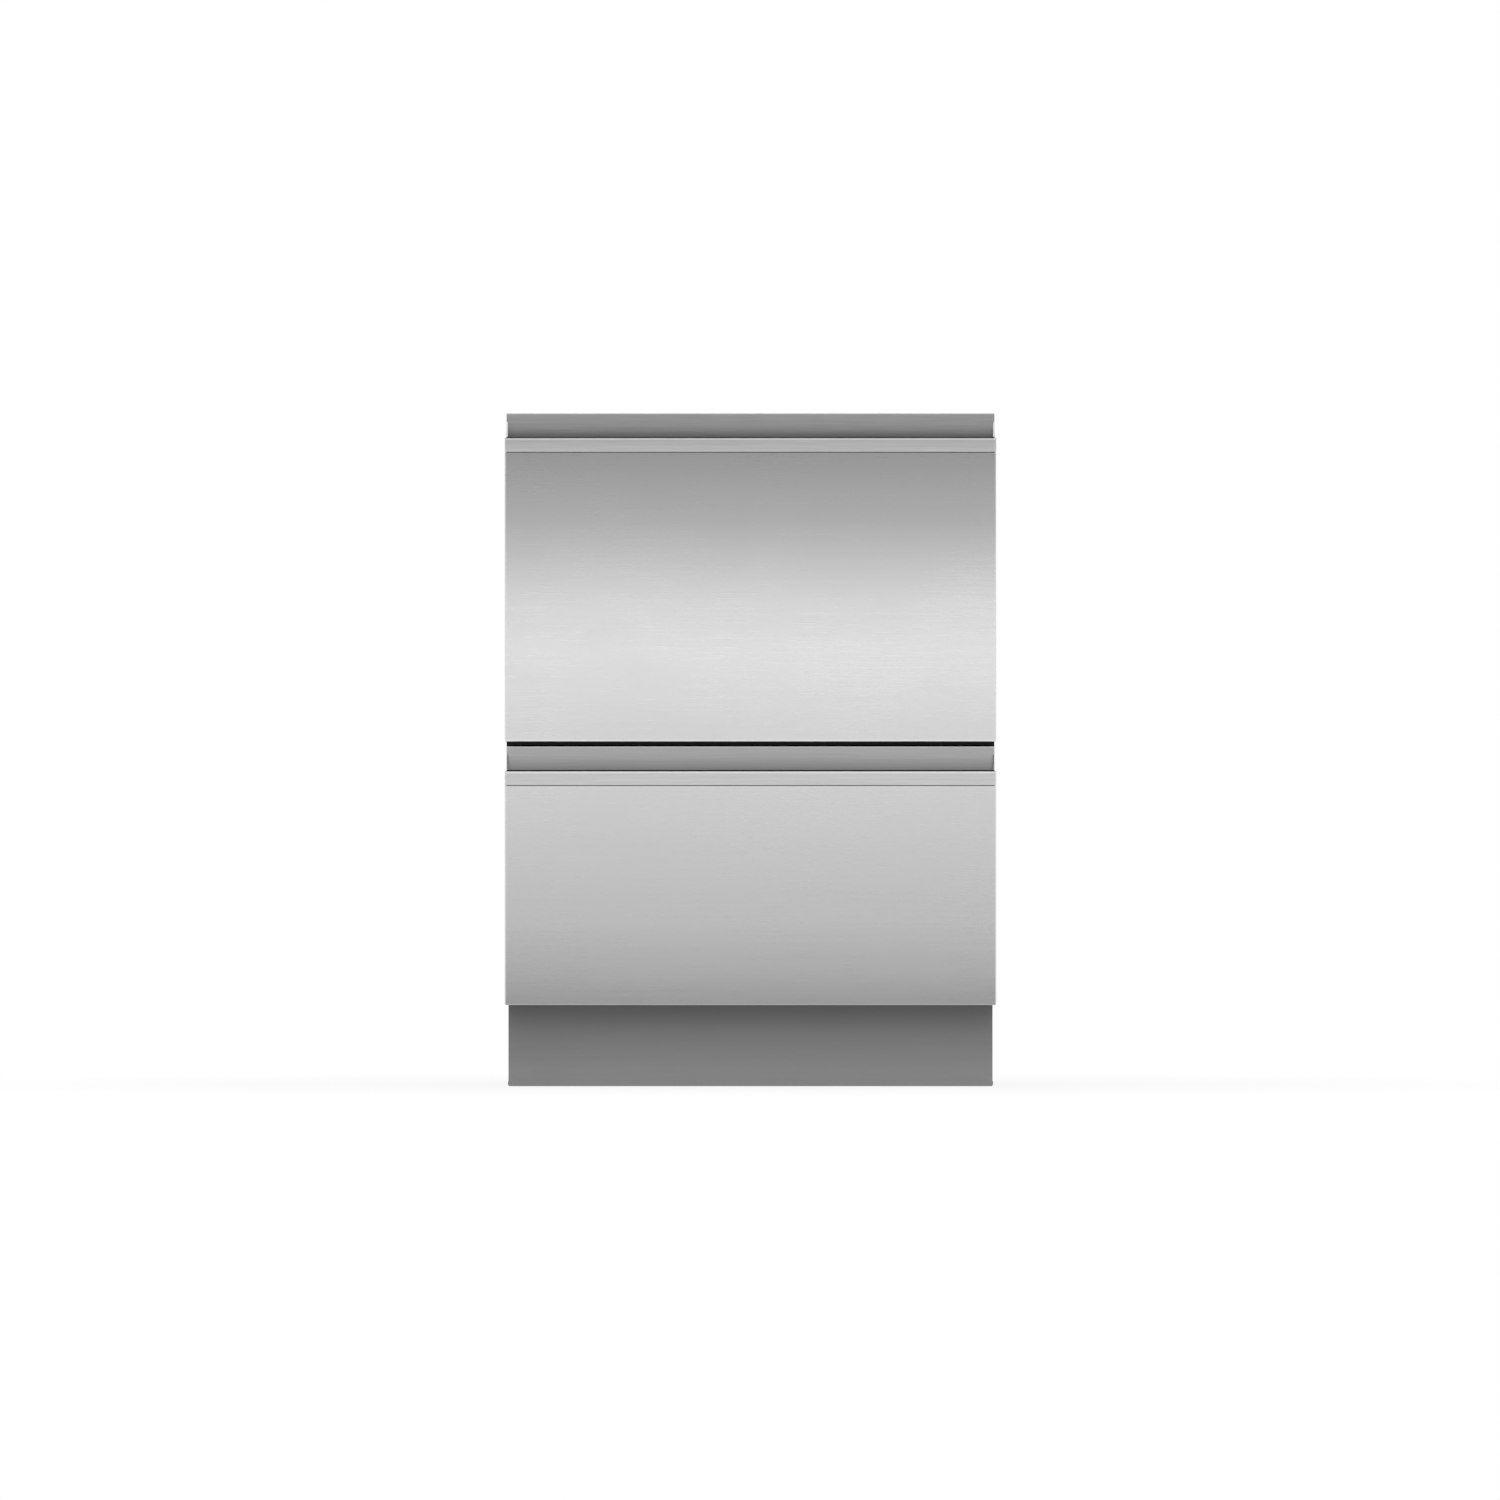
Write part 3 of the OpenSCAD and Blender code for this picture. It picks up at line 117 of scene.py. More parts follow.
# %% [markdown]
# ## Writing a finish
# A finish is a small network of nodes. Written link by link it is hard to read, so one class
# wraps a socket and lets it be added and multiplied as a number is. One method makes any
# other node from its type, its settings and what goes into it.


# %% Sums on sockets
class Flow:
    """A value, colour or vector on its way through a network of nodes."""

    def __init__(self, network, socket):
        self.network, self.socket = network, socket

    def maths(self, operation, *others):
        return self.network.add("Math", {"operation": operation}, [self, *others])

    def __add__(self, other):
        return self.maths("ADD", other)

    def __sub__(self, other):
        return self.maths("SUBTRACT", other)

    def __rsub__(self, other):
        return self.network.add("Math", {"operation": "SUBTRACT"}, [other, self])

    def __mul__(self, other):
        return self.maths("MULTIPLY", other)

    def __abs__(self):
        return self.maths("ABSOLUTE")

    __radd__, __rmul__ = __add__, __mul__

    def at_least(self, other):
        """This value, or the other one wherever that is larger."""
        return self.maths("MAXIMUM", other)

    def between(self, low, high):
        """This value, stretched so that low becomes 0 and high becomes 1, and clipped there."""
        ends = {"From Min": low, "From Max": high}
        return self.network.add("MapRange", {"clamp": True}, {"Value": self, **ends})

    def tint(self, dark, light):
        """A colour from dark to light as this value goes from 0 to 1."""
        return self.network.mix(self, (*dark, 1), (*light, 1))


print("sockets can be added, multiplied and compared")


# %% Networks and finishes
class Network:
    """A node tree, with one way to add a node of any kind to it."""

    def __init__(self, tree, kinds="ShaderNode"):
        self.tree, self.kinds = tree, kinds

    def add(self, kind, settings=None, sockets=None, out=0):
        """A node of this kind. Its settings come first, then the values or links of its sockets."""
        node = self.tree.nodes.new(self.kinds + kind)
        for name, value in (settings or {}).items():
            if name == "stops":
                self.fill(node.color_ramp, value)
            else:
                setattr(node, name, value)
        pairs = sockets.items() if isinstance(sockets, dict) else enumerate(sockets or [])
        for name, value in pairs:
            self.feed(node.inputs[name], value)
        return Flow(self, node.outputs[out]) if node.outputs else node

    def feed(self, socket, value):
        """Gives a socket its value, or links it to what flows into it."""
        if isinstance(value, Flow):
            self.tree.links.new(value.socket, socket)
        else:
            socket.default_value = value

    @staticmethod
    def fill(ramp, stops):
        """Sets a colour ramp's stops, each a place and a grey."""
        while len(ramp.elements) > 1:
            ramp.elements.remove(ramp.elements[0])
        for i, (place, grey) in enumerate(stops):
            stop = ramp.elements[0] if i == 0 else ramp.elements.new(place)
            stop.position, stop.color = place, (grey, grey, grey, 1)

    def mix(self, share, first, second, blend="MIX"):
        """The first colour, with this share of the second in it."""
        settings = {"data_type": "RGBA", "blend_type": blend}
        return self.add("Mix", settings, {"Factor": share, 6: first, 7: second}, out=2)

    def seen(self):
        """1 for the camera, for reflections and for what shows through, and 0 for light."""
        rays = ("Is Camera Ray", "Is Glossy Ray", "Is Transmission Ray")
        camera_ray, glossy, through = [self.add("LightPath", out=ray) for ray in rays]
        return camera_ray.at_least(glossy).at_least(through)


class Finish(Network):
    """A new material, with its node tree and the shader at its end."""

    def __init__(self, name, **looks):
        self.material = bpy.data.materials.new(name)
        self.material.use_nodes = True
        super().__init__(self.material.node_tree)
        self.shader = self.tree.nodes["Principled BSDF"]
        self.place = self.add("TexCoord", out="Object")
        self.set(**looks)

    def set(self, **looks):
        """Sets the shader's sockets: base_color=... is its Base Color."""
        for name, value in looks.items():
            self.feed(self.shader.inputs[name.replace("_", " ").title().replace("Ior", "IOR")], value)

    def axes(self):
        """The x, y and z of the place on the surface, in metres from the piece's origin."""
        return [self.add("SeparateXYZ", {}, [self.place], out=axis) for axis in "XYZ"]

    def noise(self, scale, detail=2.0, roughness=0.5, stretch=(1, 1, 1), seed=0.0):
        """Noise from 0 to 1. Stretch is how many times finer it is along x, y and z."""
        spread = self.add("VectorMath", {"operation": "MULTIPLY"}, [self.place, stretch])
        shifted = self.add("VectorMath", {"operation": "ADD"}, [spread, (seed, seed, seed)])
        sockets = {"Vector": shifted, "Scale": scale, "Detail": detail, "Roughness": roughness}
        return self.add("TexNoise", {}, sockets)

    def bump(self, height, depth, strength=1.0):
        """Makes the surface's normal follow a height, which goes from 0 to 1 over depth metres."""
        sockets = {"Strength": strength, "Distance": depth, "Height": height}
        self.set(normal=self.add("Bump", {}, sockets))

    def end(self, flow):
        """Shows this instead of the plain shader."""
        self.feed(self.tree.nodes["Material Output"].inputs["Surface"], flow)


print("finishes can be written as sums")

# %% [markdown]
# ## Brushed steel
# A belt with grit drags fine scratches along the sheet. They scatter light across their
# length, so a highlight stretches up and down while it stays short along the grain. The
# shader's anisotropy gives that stretch. Noise that is dozens of times finer across the
# grain than along it gives the scratches, in tone, in roughness and in height.


# %% Brushed steel
GRAIN_TURN = 0.25
PAINTED_REFLECTION_REACH = 0.9
# The tones that painted shade and painted highlights mix towards.
PAINTED_SHADE_TONE, PAINTED_HIGHLIGHT_TONE = (0.004, 0.004, 0.004, 1), (0.97, 0.97, 0.97, 1)


def brushed_steel(name, tone, rough, streak, grain, anisotropy=0.75, shade=None, glint=None,
                  painted_reflection=None):
    """Steel with a grain. Streak is how much its tone varies, and grain how fine it is on each axis.

    Shade and glint give, from the finish's x, y and z, how much painted shade or painted
    highlight there is. The painted reflection is a list of heights in metres, each with the
    share of the tone that is left there.
    """
    finish = Finish(name, metallic=1.0, anisotropic=anisotropy, anisotropic_rotation=GRAIN_TURN)
    fine = finish.noise(60, 3, 0.6, grain)
    coarse = finish.noise(14, 2, 0.5, grain, seed=4.0)
    smudge = finish.noise(5, 3, 0.6, seed=9.0).between(0.3, 0.75)
    height = fine * 0.65 + coarse * 0.35
    scratch = height.between(0.3, 0.7)
    colour = scratch.tint([t * (1 - streak) for t in tone], [t * (1 + streak) for t in tone])
    x, y, z = finish.axes()
    # Painted reflection: the colour is graded with height, standing in for part of the reflection.
    if painted_reflection:
        stops = [(rise / PAINTED_REFLECTION_REACH, share) for rise, share in painted_reflection]
        left = finish.add("ValToRGB", {"stops": stops}, [z * (1 / PAINTED_REFLECTION_REACH)])
        colour = finish.mix(1.0, colour, left, "MULTIPLY")
    # Painted shade darkens the colour and painted highlights lighten it where their masks say.
    for mask, tone_there in ((shade, PAINTED_SHADE_TONE), (glint, PAINTED_HIGHLIGHT_TONE)):
        if mask:
            colour = finish.mix(mask(x, y, z), colour, tone_there)
    finish.set(base_color=colour)
    finish.set(roughness=scratch * 0.08 + smudge * 0.03 + (rough - 0.05))
    finish.bump(height, 0.00003, 0.35)
    return finish.material


print("highlights are turned by", GRAIN_TURN * 360, "degrees, across the grain")

# %% [markdown]
# ## Painted shade and painted highlights on the steel
# Behind a handle's lip the steel is painted darker, most of all low in the channel, as painted
# shade in the recess. A painted shadow line runs along the top of the lip, and the joint below
# the lip gets painted shade. Painted highlights run along what stands out: the top of the back
# wall, the edge of the lip, the folds at a front's foot and down its sides. Heights on a handle
# count from the drawer's top, and those on a front from the floor, so each mask is a few steps
# on one axis.

# %% Masks for the handles
# Painted shade for a handle: in the channel behind its lip, along the shadow line above the lip and in the
# joint below it.
CHANNEL_MOUTH, CHANNEL_DEPTH = (0.004, 0.008), (-0.029, -0.012)
CHANNEL_DARK, CHANNEL_DARKER = 0.22, 0.19
LINE_FOOT, LINE_HEAD = (-0.0308, -0.0303), (-0.029, -0.0284)
JOINT_HEAD = (-0.0475, -0.0471)
PAINTED_LINE_SHADE = 0.96
# Bands of painted highlight: the side folds, the top of the back wall and the lip's edge.
SIDE_FOLD = (0.2982, 0.0009)
WALL_EDGE, LIP_EDGE = (-0.0006, 0.0014), (-0.0317, 0.0012)


def channel_shade(x, y, z):
    """Painted shade behind a handle's lip, deepest low in the channel, with a painted shadow line above the
    lip and painted shade in the joint.
    """
    inside = y.between(*CHANNEL_MOUTH)
    deeper = 1 - z.between(*CHANNEL_DEPTH)
    line = z.between(*LINE_FOOT) * (1 - z.between(*LINE_HEAD))
    joint = 1 - z.between(*JOINT_HEAD)
    return (inside * (deeper * CHANNEL_DARKER + CHANNEL_DARK)).at_least(line.at_least(joint) * PAINTED_LINE_SHADE)


def painted_highlight_line(distance, middle, half):
    """A painted highlight line that is 1 at this distance and fades out over half its width."""
    return 1 - abs(distance - middle).between(half * 0.5, half)


def side_glint(x):
    """A painted highlight along the fold down each side."""
    return painted_highlight_line(abs(x), *SIDE_FOLD) * 0.35


def lip_glint(x, y, z):
    """Painted highlights on a handle: at the top of its back wall, at its lip's edge and at its ends."""
    edges = painted_highlight_line(z, *WALL_EDGE) * 0.4 + painted_highlight_line(z, *LIP_EDGE) * 0.6
    return edges.at_least(side_glint(x))


print("a handle's joint starts", -JOINT_HEAD[1] / MM, "mm below its top")

# %% Masks for the fronts and the toe kick
# Painted shade at the fronts' joints and on the toe kick, and painted highlights along the fronts' feet.
UPPER_JOINT, LOWER_JOINT = (0.7716, 0.7717), (0.3661, 0.3662)
BETWEEN_FRONTS = (0.4, 0.41)
UPPER_FOOT, LOWER_FOOT = (0.4214, 0.0011), (0.1003, 0.0009)
KICK_SHADOW = (0.02, 0.1)


def joint_shade(x, y, z):
    """Painted shade along the top of each front, darkening its joint with its handle's lip."""
    lower = z.between(*LOWER_JOINT) * (1 - z.between(*BETWEEN_FRONTS))
    return z.between(*UPPER_JOINT).at_least(lower) * 0.5


def front_glint(x, y, z):
    """Painted highlights on a front, along the folds at its foot and down its sides."""
    feet = painted_highlight_line(z, *UPPER_FOOT) * 0.55 + painted_highlight_line(z, *LOWER_FOOT) * 0.15
    return feet.at_least(side_glint(x))


def kick_shade(x, y, z):
    """Painted shade: the toe kick is darker towards the fronts that stand out above it."""
    return z.between(*KICK_SHADOW) * 0.42


print("joints at", UPPER_JOINT[0], "and", LOWER_JOINT[0], "m")

# %% [markdown]
# ## The four brushed finishes
# The fronts shade from grey at the top through bright in the upper middle to grey at the
# foot. Most of that is a reflection of the wall of light at the end of this lesson. It alone
# would have to be very steep, and an opened front would look like a mirror, so part of it is
# a painted reflection: the steel's colour itself is graded with height.

# %% Fronts, handles, toe kick and buttons
GRAIN = (0.35, 12, 24)
# A painted reflection on the fronts: heights in metres above the floor, each with the share of the tone left
# there.
FRONT_PAINTED_REFLECTION = (
    (0.1, 0.57), (0.14, 0.71), (0.2, 0.83), (0.44, 0.9),
    (0.53, 1.0), (0.59, 0.95), (0.69, 0.7), (0.77, 0.63),
)
finishes = {
    "front_steel": brushed_steel("front_steel", (0.65, 0.65, 0.648), 0.29, 0.03, GRAIN,
                                 shade=joint_shade, glint=front_glint, painted_reflection=FRONT_PAINTED_REFLECTION),
    "handle_steel": brushed_steel("handle_steel", (0.63, 0.63, 0.627), 0.46, 0.13, GRAIN,
                                  shade=channel_shade, glint=lip_glint),
    "toe_kick_metal": brushed_steel("toe_kick_metal", (0.28, 0.28, 0.28), 0.5, 0.05, (0.6, 12, 16),
                                    0.4, shade=kick_shade),
    "button_metal": brushed_steel("button_metal", (0.6, 0.6, 0.6), 0.3, 0.06, (1, 20, 20)),
}
print("brushed:", ", ".join(finishes))

# %% [markdown]
# ## Sheet, runners and screws
# The chassis is hot-dip galvanised: zinc freezes on it in crystals as large as a fingernail,
# each with its own shine. Cells of a Voronoi texture stand for them. Runners and screws are
# plated with bright zinc, which is even, so they only get faint rubbing marks.


# %% Galvanised and plated steel
def galvanised(name, tone):
    """Zinc in crystals. Noise bends their borders, which would be straight otherwise."""
    finish = Finish(name, metallic=1.0)
    wobble = finish.noise(40, 2, 0.5) * 0.012
    bent = finish.add("VectorMath", {"operation": "ADD"}, [finish.place, wobble])
    cells = {"Vector": bent, "Scale": 95, "Randomness": 1.0}
    crystal = finish.add("TexVoronoi", {"feature": "F1"}, cells, out="Color")
    shade = finish.add("SeparateColor", {}, [crystal], out=0)
    haze = finish.noise(9, 4, 0.6, seed=3.0).between(0.3, 0.7)
    speck = finish.noise(900, 2, 0.6, seed=6.0)
    light = shade * 0.5 + haze * 0.5
    finish.set(base_color=light.tint([t * 0.84 for t in tone], [t * 1.1 for t in tone]))
    finish.set(roughness=shade * 0.07 + haze * 0.08 + 0.36)
    finish.bump(speck, 0.00003, 0.3)
    return finish.material


def plated(name, tone, rough):
    """Even bright zinc, with rubbing marks along y and a few stains."""
    finish = Finish(name, metallic=1.0)
    rubbed = finish.noise(30, 3, 0.6, (1, 0.08, 1)).between(0.35, 0.7)
    stain = finish.noise(18, 4, 0.65, seed=5.0).between(0.35, 0.75)
    finish.set(base_color=stain.tint([t * 0.86 for t in tone], tone))
    finish.set(roughness=rubbed * 0.12 + stain * 0.06 + rough)
    finish.bump(finish.noise(700, 2, 0.5), 0.00002, 0.25)
    return finish.material


finishes["chassis_sheet"] = galvanised("chassis_sheet", (0.5, 0.51, 0.52))
finishes["runner_steel"] = plated("runner_steel", (0.62, 0.63, 0.64), 0.22)
finishes["screw_steel"] = plated("screw_steel", (0.55, 0.55, 0.54), 0.28)
finishes["mesh_steel"] = plated("mesh_steel", (0.6, 0.6, 0.6), 0.26)
print("metals:", len(finishes))

# %% [markdown]
# ## Plastics and rubber
# A moulded part takes the texture of its mould: a fine even grain, a slightly uneven gloss
# and faint clouds in its colour where the melt met. Rubber is darker and duller, with dust
# in its pores. Rack wire is dipped in nylon, which is smooth with soft dents.


# %% Moulded and dipped finishes
def moulded(name, colour, rough, grain=0.00004, grain_scale=1400, cloud=0.06, coat=0.0):
    """Plastic. Cloud is how much its colour varies, and coat is for what was dipped in it."""
    finish = Finish(name, coat_weight=coat, coat_roughness=0.08)
    texture = finish.noise(grain_scale, 3, 0.65)
    flow = finish.noise(11, 3, 0.55, seed=2.0).between(0.3, 0.75)
    rub = finish.noise(45, 4, 0.7, (1, 1, 2.5), seed=7.0).between(0.35, 0.8)
    finish.set(base_color=flow.tint([c * (1 - cloud) for c in colour], [c * (1 + cloud) for c in colour]))
    finish.set(roughness=texture * 0.06 + rub * 0.1 + (rough - 0.06))
    finish.bump(texture, grain, 0.5)
    return finish.material


def rubber(name, colour):
    """Dull rubber with fine pores and some dust."""
    finish = Finish(name, specular_ior_level=0.2)
    pores = finish.noise(1800, 3, 0.7)
    dust = finish.noise(60, 4, 0.7, seed=3.0).between(0.45, 0.85)
    finish.set(base_color=dust.tint(colour, [c * 1.6 + 0.004 for c in colour]))
    finish.set(roughness=dust * 0.12 + 0.58)
    finish.bump(pores, 0.00006, 0.5)
    return finish.material


print("plastics and rubber can be mixed")

# %% [markdown]
# ## Which plastic is what
# Each moulded part has its own grey and its own gloss. The tubs are the lightest and the
# controls the darkest. Only these two values differ, so a table holds them.

# %% Colours and gloss of the plastics
PLASTICS = {
    "foot_plastic": ((0.025, 0.025, 0.027), 0.5),
    "actuator_plastic": ((0.05, 0.052, 0.056), 0.45),
    "port_plastic": ((0.06, 0.063, 0.068), 0.42),
    "tub_plastic": ((0.52, 0.53, 0.54), 0.34),
    "lid_plastic": ((0.5, 0.51, 0.52), 0.42),
    "carrier_plastic": ((0.09, 0.092, 0.096), 0.5),
    "control_plastic": ((0.014, 0.014, 0.016), 0.3),
    "filter_plastic": ((0.2, 0.21, 0.225), 0.36),
    "arm_plastic": ((0.26, 0.27, 0.285), 0.35),
    "impeller_plastic": ((0.62, 0.62, 0.6), 0.4),
    "motor_plastic": ((0.035, 0.036, 0.04), 0.48),
    "basket_plastic": ((0.23, 0.24, 0.25), 0.38),
    "dispenser_plastic": ((0.3, 0.31, 0.325), 0.34),
    "door_plastic": ((0.42, 0.43, 0.44), 0.3),
    "link_plastic": ((0.12, 0.123, 0.13), 0.5),
}
for name, (colour, rough) in PLASTICS.items():
    finishes[name] = moulded(name, colour, rough)
finishes["rack_wire"] = moulded("rack_wire", (0.2, 0.21, 0.22), 0.32, 0.00012, 260, 0.1, 0.25)
finishes["edge_rubber"] = rubber("edge_rubber", (0.003, 0.003, 0.0034))
finishes["seal_rubber"] = rubber("seal_rubber", (0.06, 0.062, 0.066))
missing = set(slot_of.values()) - set(finishes)
print("finishes:", len(finishes), "still missing:", missing or "none")

# %% [markdown]
# ## Soft edges on the CAD parts
# No real edge is sharp: a fold has a radius and a moulding is broken by hand or by its mould.
# The CAD nodes keep their meshes, so this is done by modifiers. A weld joins the triangles,
# a planar clean-up leaves one face for each flat, a bevel rounds the edges, and a last
# modifier decides by angle which edges stay crisp.

# %% Crisp edges and flat flats
CRISP_FROM = math.radians(32)


def crisp_edges():
    """A modifier group that smooths a mesh except at its sharp edges."""
    group = bpy.data.node_groups.new("crisp_edges", "GeometryNodeTree")
    for way in ("INPUT", "OUTPUT"):
        group.interface.new_socket("Geometry", in_out=way, socket_type="NodeSocketGeometry")
    network = Network(group, kinds="")
    shape = network.add("NodeGroupInput")
    angle = network.add("GeometryNodeInputMeshEdgeAngle")
    sharp = network.add("FunctionNodeCompare", {"operation": "GREATER_THAN"}, [angle, CRISP_FROM])
    sockets = {0: shape, "Remove Custom": True, "Edge Sharpness": sharp}
    normals = network.add("GeometryNodeSetMeshNormal", {"mode": "SHARPNESS"}, sockets)
    network.add("NodeGroupOutput", {}, [normals])
    return group


CRISP = crisp_edges()


def shade_flats(thing):
    """Keeps sharp edges crisp, and keeps large flats flat right up to their soft edges."""
    thing.modifiers.new("smooth", "NODES").node_group = CRISP
    flat = thing.modifiers.new("flat", "WEIGHTED_NORMAL")
    flat.mode, flat.weight, flat.keep_sharp = "FACE_AREA", 50, True


print("modifier group", CRISP.name, "ready")

# %% Softening a CAD part
FLAT_WITHIN = math.radians(0.5)
ROUND_FROM = math.radians(40)


def soften(node, width, segments=2):
    """Rounds the edges of a CAD node by width, in millimetres, and gives it its finish."""
    thing = nodes[node]
    weld = thing.modifiers.new("weld", "WELD")
    weld.merge_threshold = 1e-5
    flats = thing.modifiers.new("flats", "DECIMATE")
    flats.decimate_type, flats.angle_limit = "DISSOLVE", FLAT_WITHIN
    round_off = thing.modifiers.new("round_off", "BEVEL")
    round_off.width, round_off.segments = width * MM, segments
    round_off.limit_method, round_off.angle_limit = "ANGLE", ROUND_FROM
    round_off.use_clamp_overlap = False
    round_off.miter_outer = "MITER_ARC"
    shade_flats(thing)
    thing.data.materials[0] = finishes[slot_of[node]]


print("edges over", round(math.degrees(ROUND_FROM)), "degrees get rounded")

# %% [markdown]
# ## Tools of the workshop
# A few small tools make nearly every piece: a corner rounder for outlines and for bent
# wire, a loft that skins rings of points, a tube along a path, a lathe, a flat plate with
# holes, and a wall that is cut flat and then bent to an outline. They all work in
# millimetres and add to a mesh in the making.


# %% Rounded corners
def points(*pairs):
    """Points as vectors, from tuples."""
    return [Vector(pair) for pair in pairs]


def rounded(corners, radii, steps=4, closed=True):
    """The path through these corners, in 2D or 3D, with an arc of its radius at each."""
    path = []
    for i, corner in enumerate(corners):
        radius = radii[i] if isinstance(radii, (list, tuple)) else radii
        if radius <= 0 or (not closed and i in (0, len(corners) - 1)):
            path.append(corner)
            continue
        back = (corners[i - 1] - corner).normalized()
        on = (corners[(i + 1) % len(corners)] - corner).normalized()
        half = back.angle(on) / 2
        turn = math.pi - 2 * half
        centre = corner + (back + on).normalized() * radius / math.sin(half)
        first = corner + back * radius / math.tan(half) - centre
        last = corner + on * radius / math.tan(half) - centre
        for k in range(steps + 1):
            share = k / steps
            arm = first * math.sin((1 - share) * turn) + last * math.sin(share * turn)
            path.append(centre + arm / math.sin(turn))
    return path


def frame_outline(x, y, radius, steps=6):
    """A rectangle over ranges of x and y, with round corners."""
    corners = points((x[0], y[0]), (x[1], y[0]), (x[1], y[1]), (x[0], y[1]))
    return rounded(corners, radius, steps)


def circle(x, y, radius, steps=24):
    """A circle round x and y, as a ring of points."""
    turns = [2 * math.pi * i / steps for i in range(steps)]
    return [Vector((x + radius * math.cos(a), y + radius * math.sin(a))) for a in turns]


def taken_in(low, high, inset, radius, steps=6):
    """The outline of a box seen from above, taken in by inset, with round corners."""
    x, y = (low.x + inset, high.x - inset), (low.y + inset, high.y - inset)
    return frame_outline(x, y, radius, steps)


def stadium(x, y):
    """A slot over ranges of x and y, with round ends."""
    return frame_outline(x, y, min(x[1] - x[0], y[1] - y[0]) * 0.49, 3)


def level(outline, z):
    """A flat outline, lifted to the height z."""
    return [Vector((p.x, p.y, z)) for p in outline]


print("a rounded square has", len(frame_outline((0, 10), (0, 10), 2)), "points")


# %% Loft, tube and lathe
DOME, DOME_NARROW = 0.45, 0.6


def loft(mesh, rings, ring_closed=True, caps=(True, True), loop=False):
    """Skins the rings, which have as many points each. Loop joins the last to the first."""
    rows = [[mesh.verts.new(p) for p in ring] for ring in rings]
    pairs = list(zip(rows, rows[1:], strict=False)) + ([(rows[-1], rows[0])] if loop else [])
    faces = []
    for low, high in pairs:
        for i in range(len(low) if ring_closed else len(low) - 1):
            j = (i + 1) % len(low)
            faces.append(mesh.faces.new((low[i], low[j], high[j], high[i])))
    if caps[0] and not loop:
        faces.append(mesh.faces.new(rows[0][::-1]))
    if caps[1] and not loop:
        faces.append(mesh.faces.new(rows[-1]))
    return faces


def tube(mesh, path, radius, sides=8, closed=False, ribs=None):
    """A round bar along a path. Its open ends are domed. Ribs gives the radius at each point."""
    count = len(path)
    rings = []
    side = None
    for i, here in enumerate(path):
        before = path[i - 1] if closed or i else here
        after = path[(i + 1) % count] if closed or i < count - 1 else here
        way = (after - before).normalized()
        if side is None:
            side = way.orthogonal().normalized()
        side = (side - way * side.dot(way)).normalized()
        up = way.cross(side)
        size = ribs[i] if ribs else radius
        turns = [2 * math.pi * k / sides for k in range(sides)]
        ring = [here + (side * math.cos(a) + up * math.sin(a)) * size for a in turns]
        if not closed and i == 0:
            rings.append([here - way * radius * DOME + (p - here) * DOME_NARROW for p in ring])
        rings.append(ring)
        if not closed and i == count - 1:
            rings.append([here + way * radius * DOME + (p - here) * DOME_NARROW for p in ring])
    return loft(mesh, rings, loop=closed)


def lathe(mesh, profile, place=Matrix(), steps=48, loop=False, flute=0.0):
    """Turns a profile of (radius, height) pairs about the z axis, then puts it in its place.

    Flute takes every other step in by that much wherever the radius is large, for a grip.
    """
    widest = max(r for r, h in profile)
    rings = []
    for r, h in profile:
        ring = []
        for i in range(steps):
            a = 2 * math.pi * i / steps
            size = r - flute if i % 4 > 1 and r > widest * 0.9 else r
            ring.append(place @ Vector((size * math.cos(a), size * math.sin(a), h)))
        rings.append(ring)
    return loft(mesh, rings, loop=loop)


print("three tools for round things ready")


# %% Plate, block and bent wall
def plate(mesh, outlines, thickness, place=Matrix(), edge=0.3):
    """A flat plate: the first outline is its rim and the others are holes. Edge rounds them."""
    curve = bpy.data.curves.new("plate", "CURVE")
    curve.dimensions, curve.fill_mode = "2D", "BOTH"
    curve.extrude, curve.bevel_depth, curve.bevel_resolution = thickness / 2 - edge, edge, 1
    curve.offset = -edge
    for outline in outlines:
        spline = curve.splines.new("POLY")
        spline.points.add(len(outline) - 1)
        spline.use_cyclic_u = True
        for point, spot in zip(spline.points, outline, strict=True):
            point.co = (spot.x, spot.y, 0, 1)
    holder = into_scene(bpy.data.objects.new("plate", curve))
    seen = holder.evaluated_get(bpy.context.evaluated_depsgraph_get())
    flat = bpy.data.meshes.new_from_object(seen)
    flat.transform(place)
    mesh.from_mesh(flat)
    bpy.data.objects.remove(holder)
    bpy.data.curves.remove(curve)
    bpy.data.meshes.remove(flat)


def block(mesh, x, y, z, edge=0.5, segments=2):
    """A box over ranges of x, y and z with its edges rounded."""
    size = Matrix.Diagonal((x[1] - x[0], y[1] - y[0], z[1] - z[0], 1))
    middle = Matrix.Translation(((x[0] + x[1]) / 2, (y[0] + y[1]) / 2, (z[0] + z[1]) / 2))
    corners = bmesh.ops.create_cube(mesh, size=1, matrix=middle @ size)["verts"]
    edges = list(dict.fromkeys(e for v in corners for e in v.link_edges))
    bmesh.ops.bevel(mesh, geom=edges, offset=edge, segments=segments, affect="EDGES", profile=0.5)


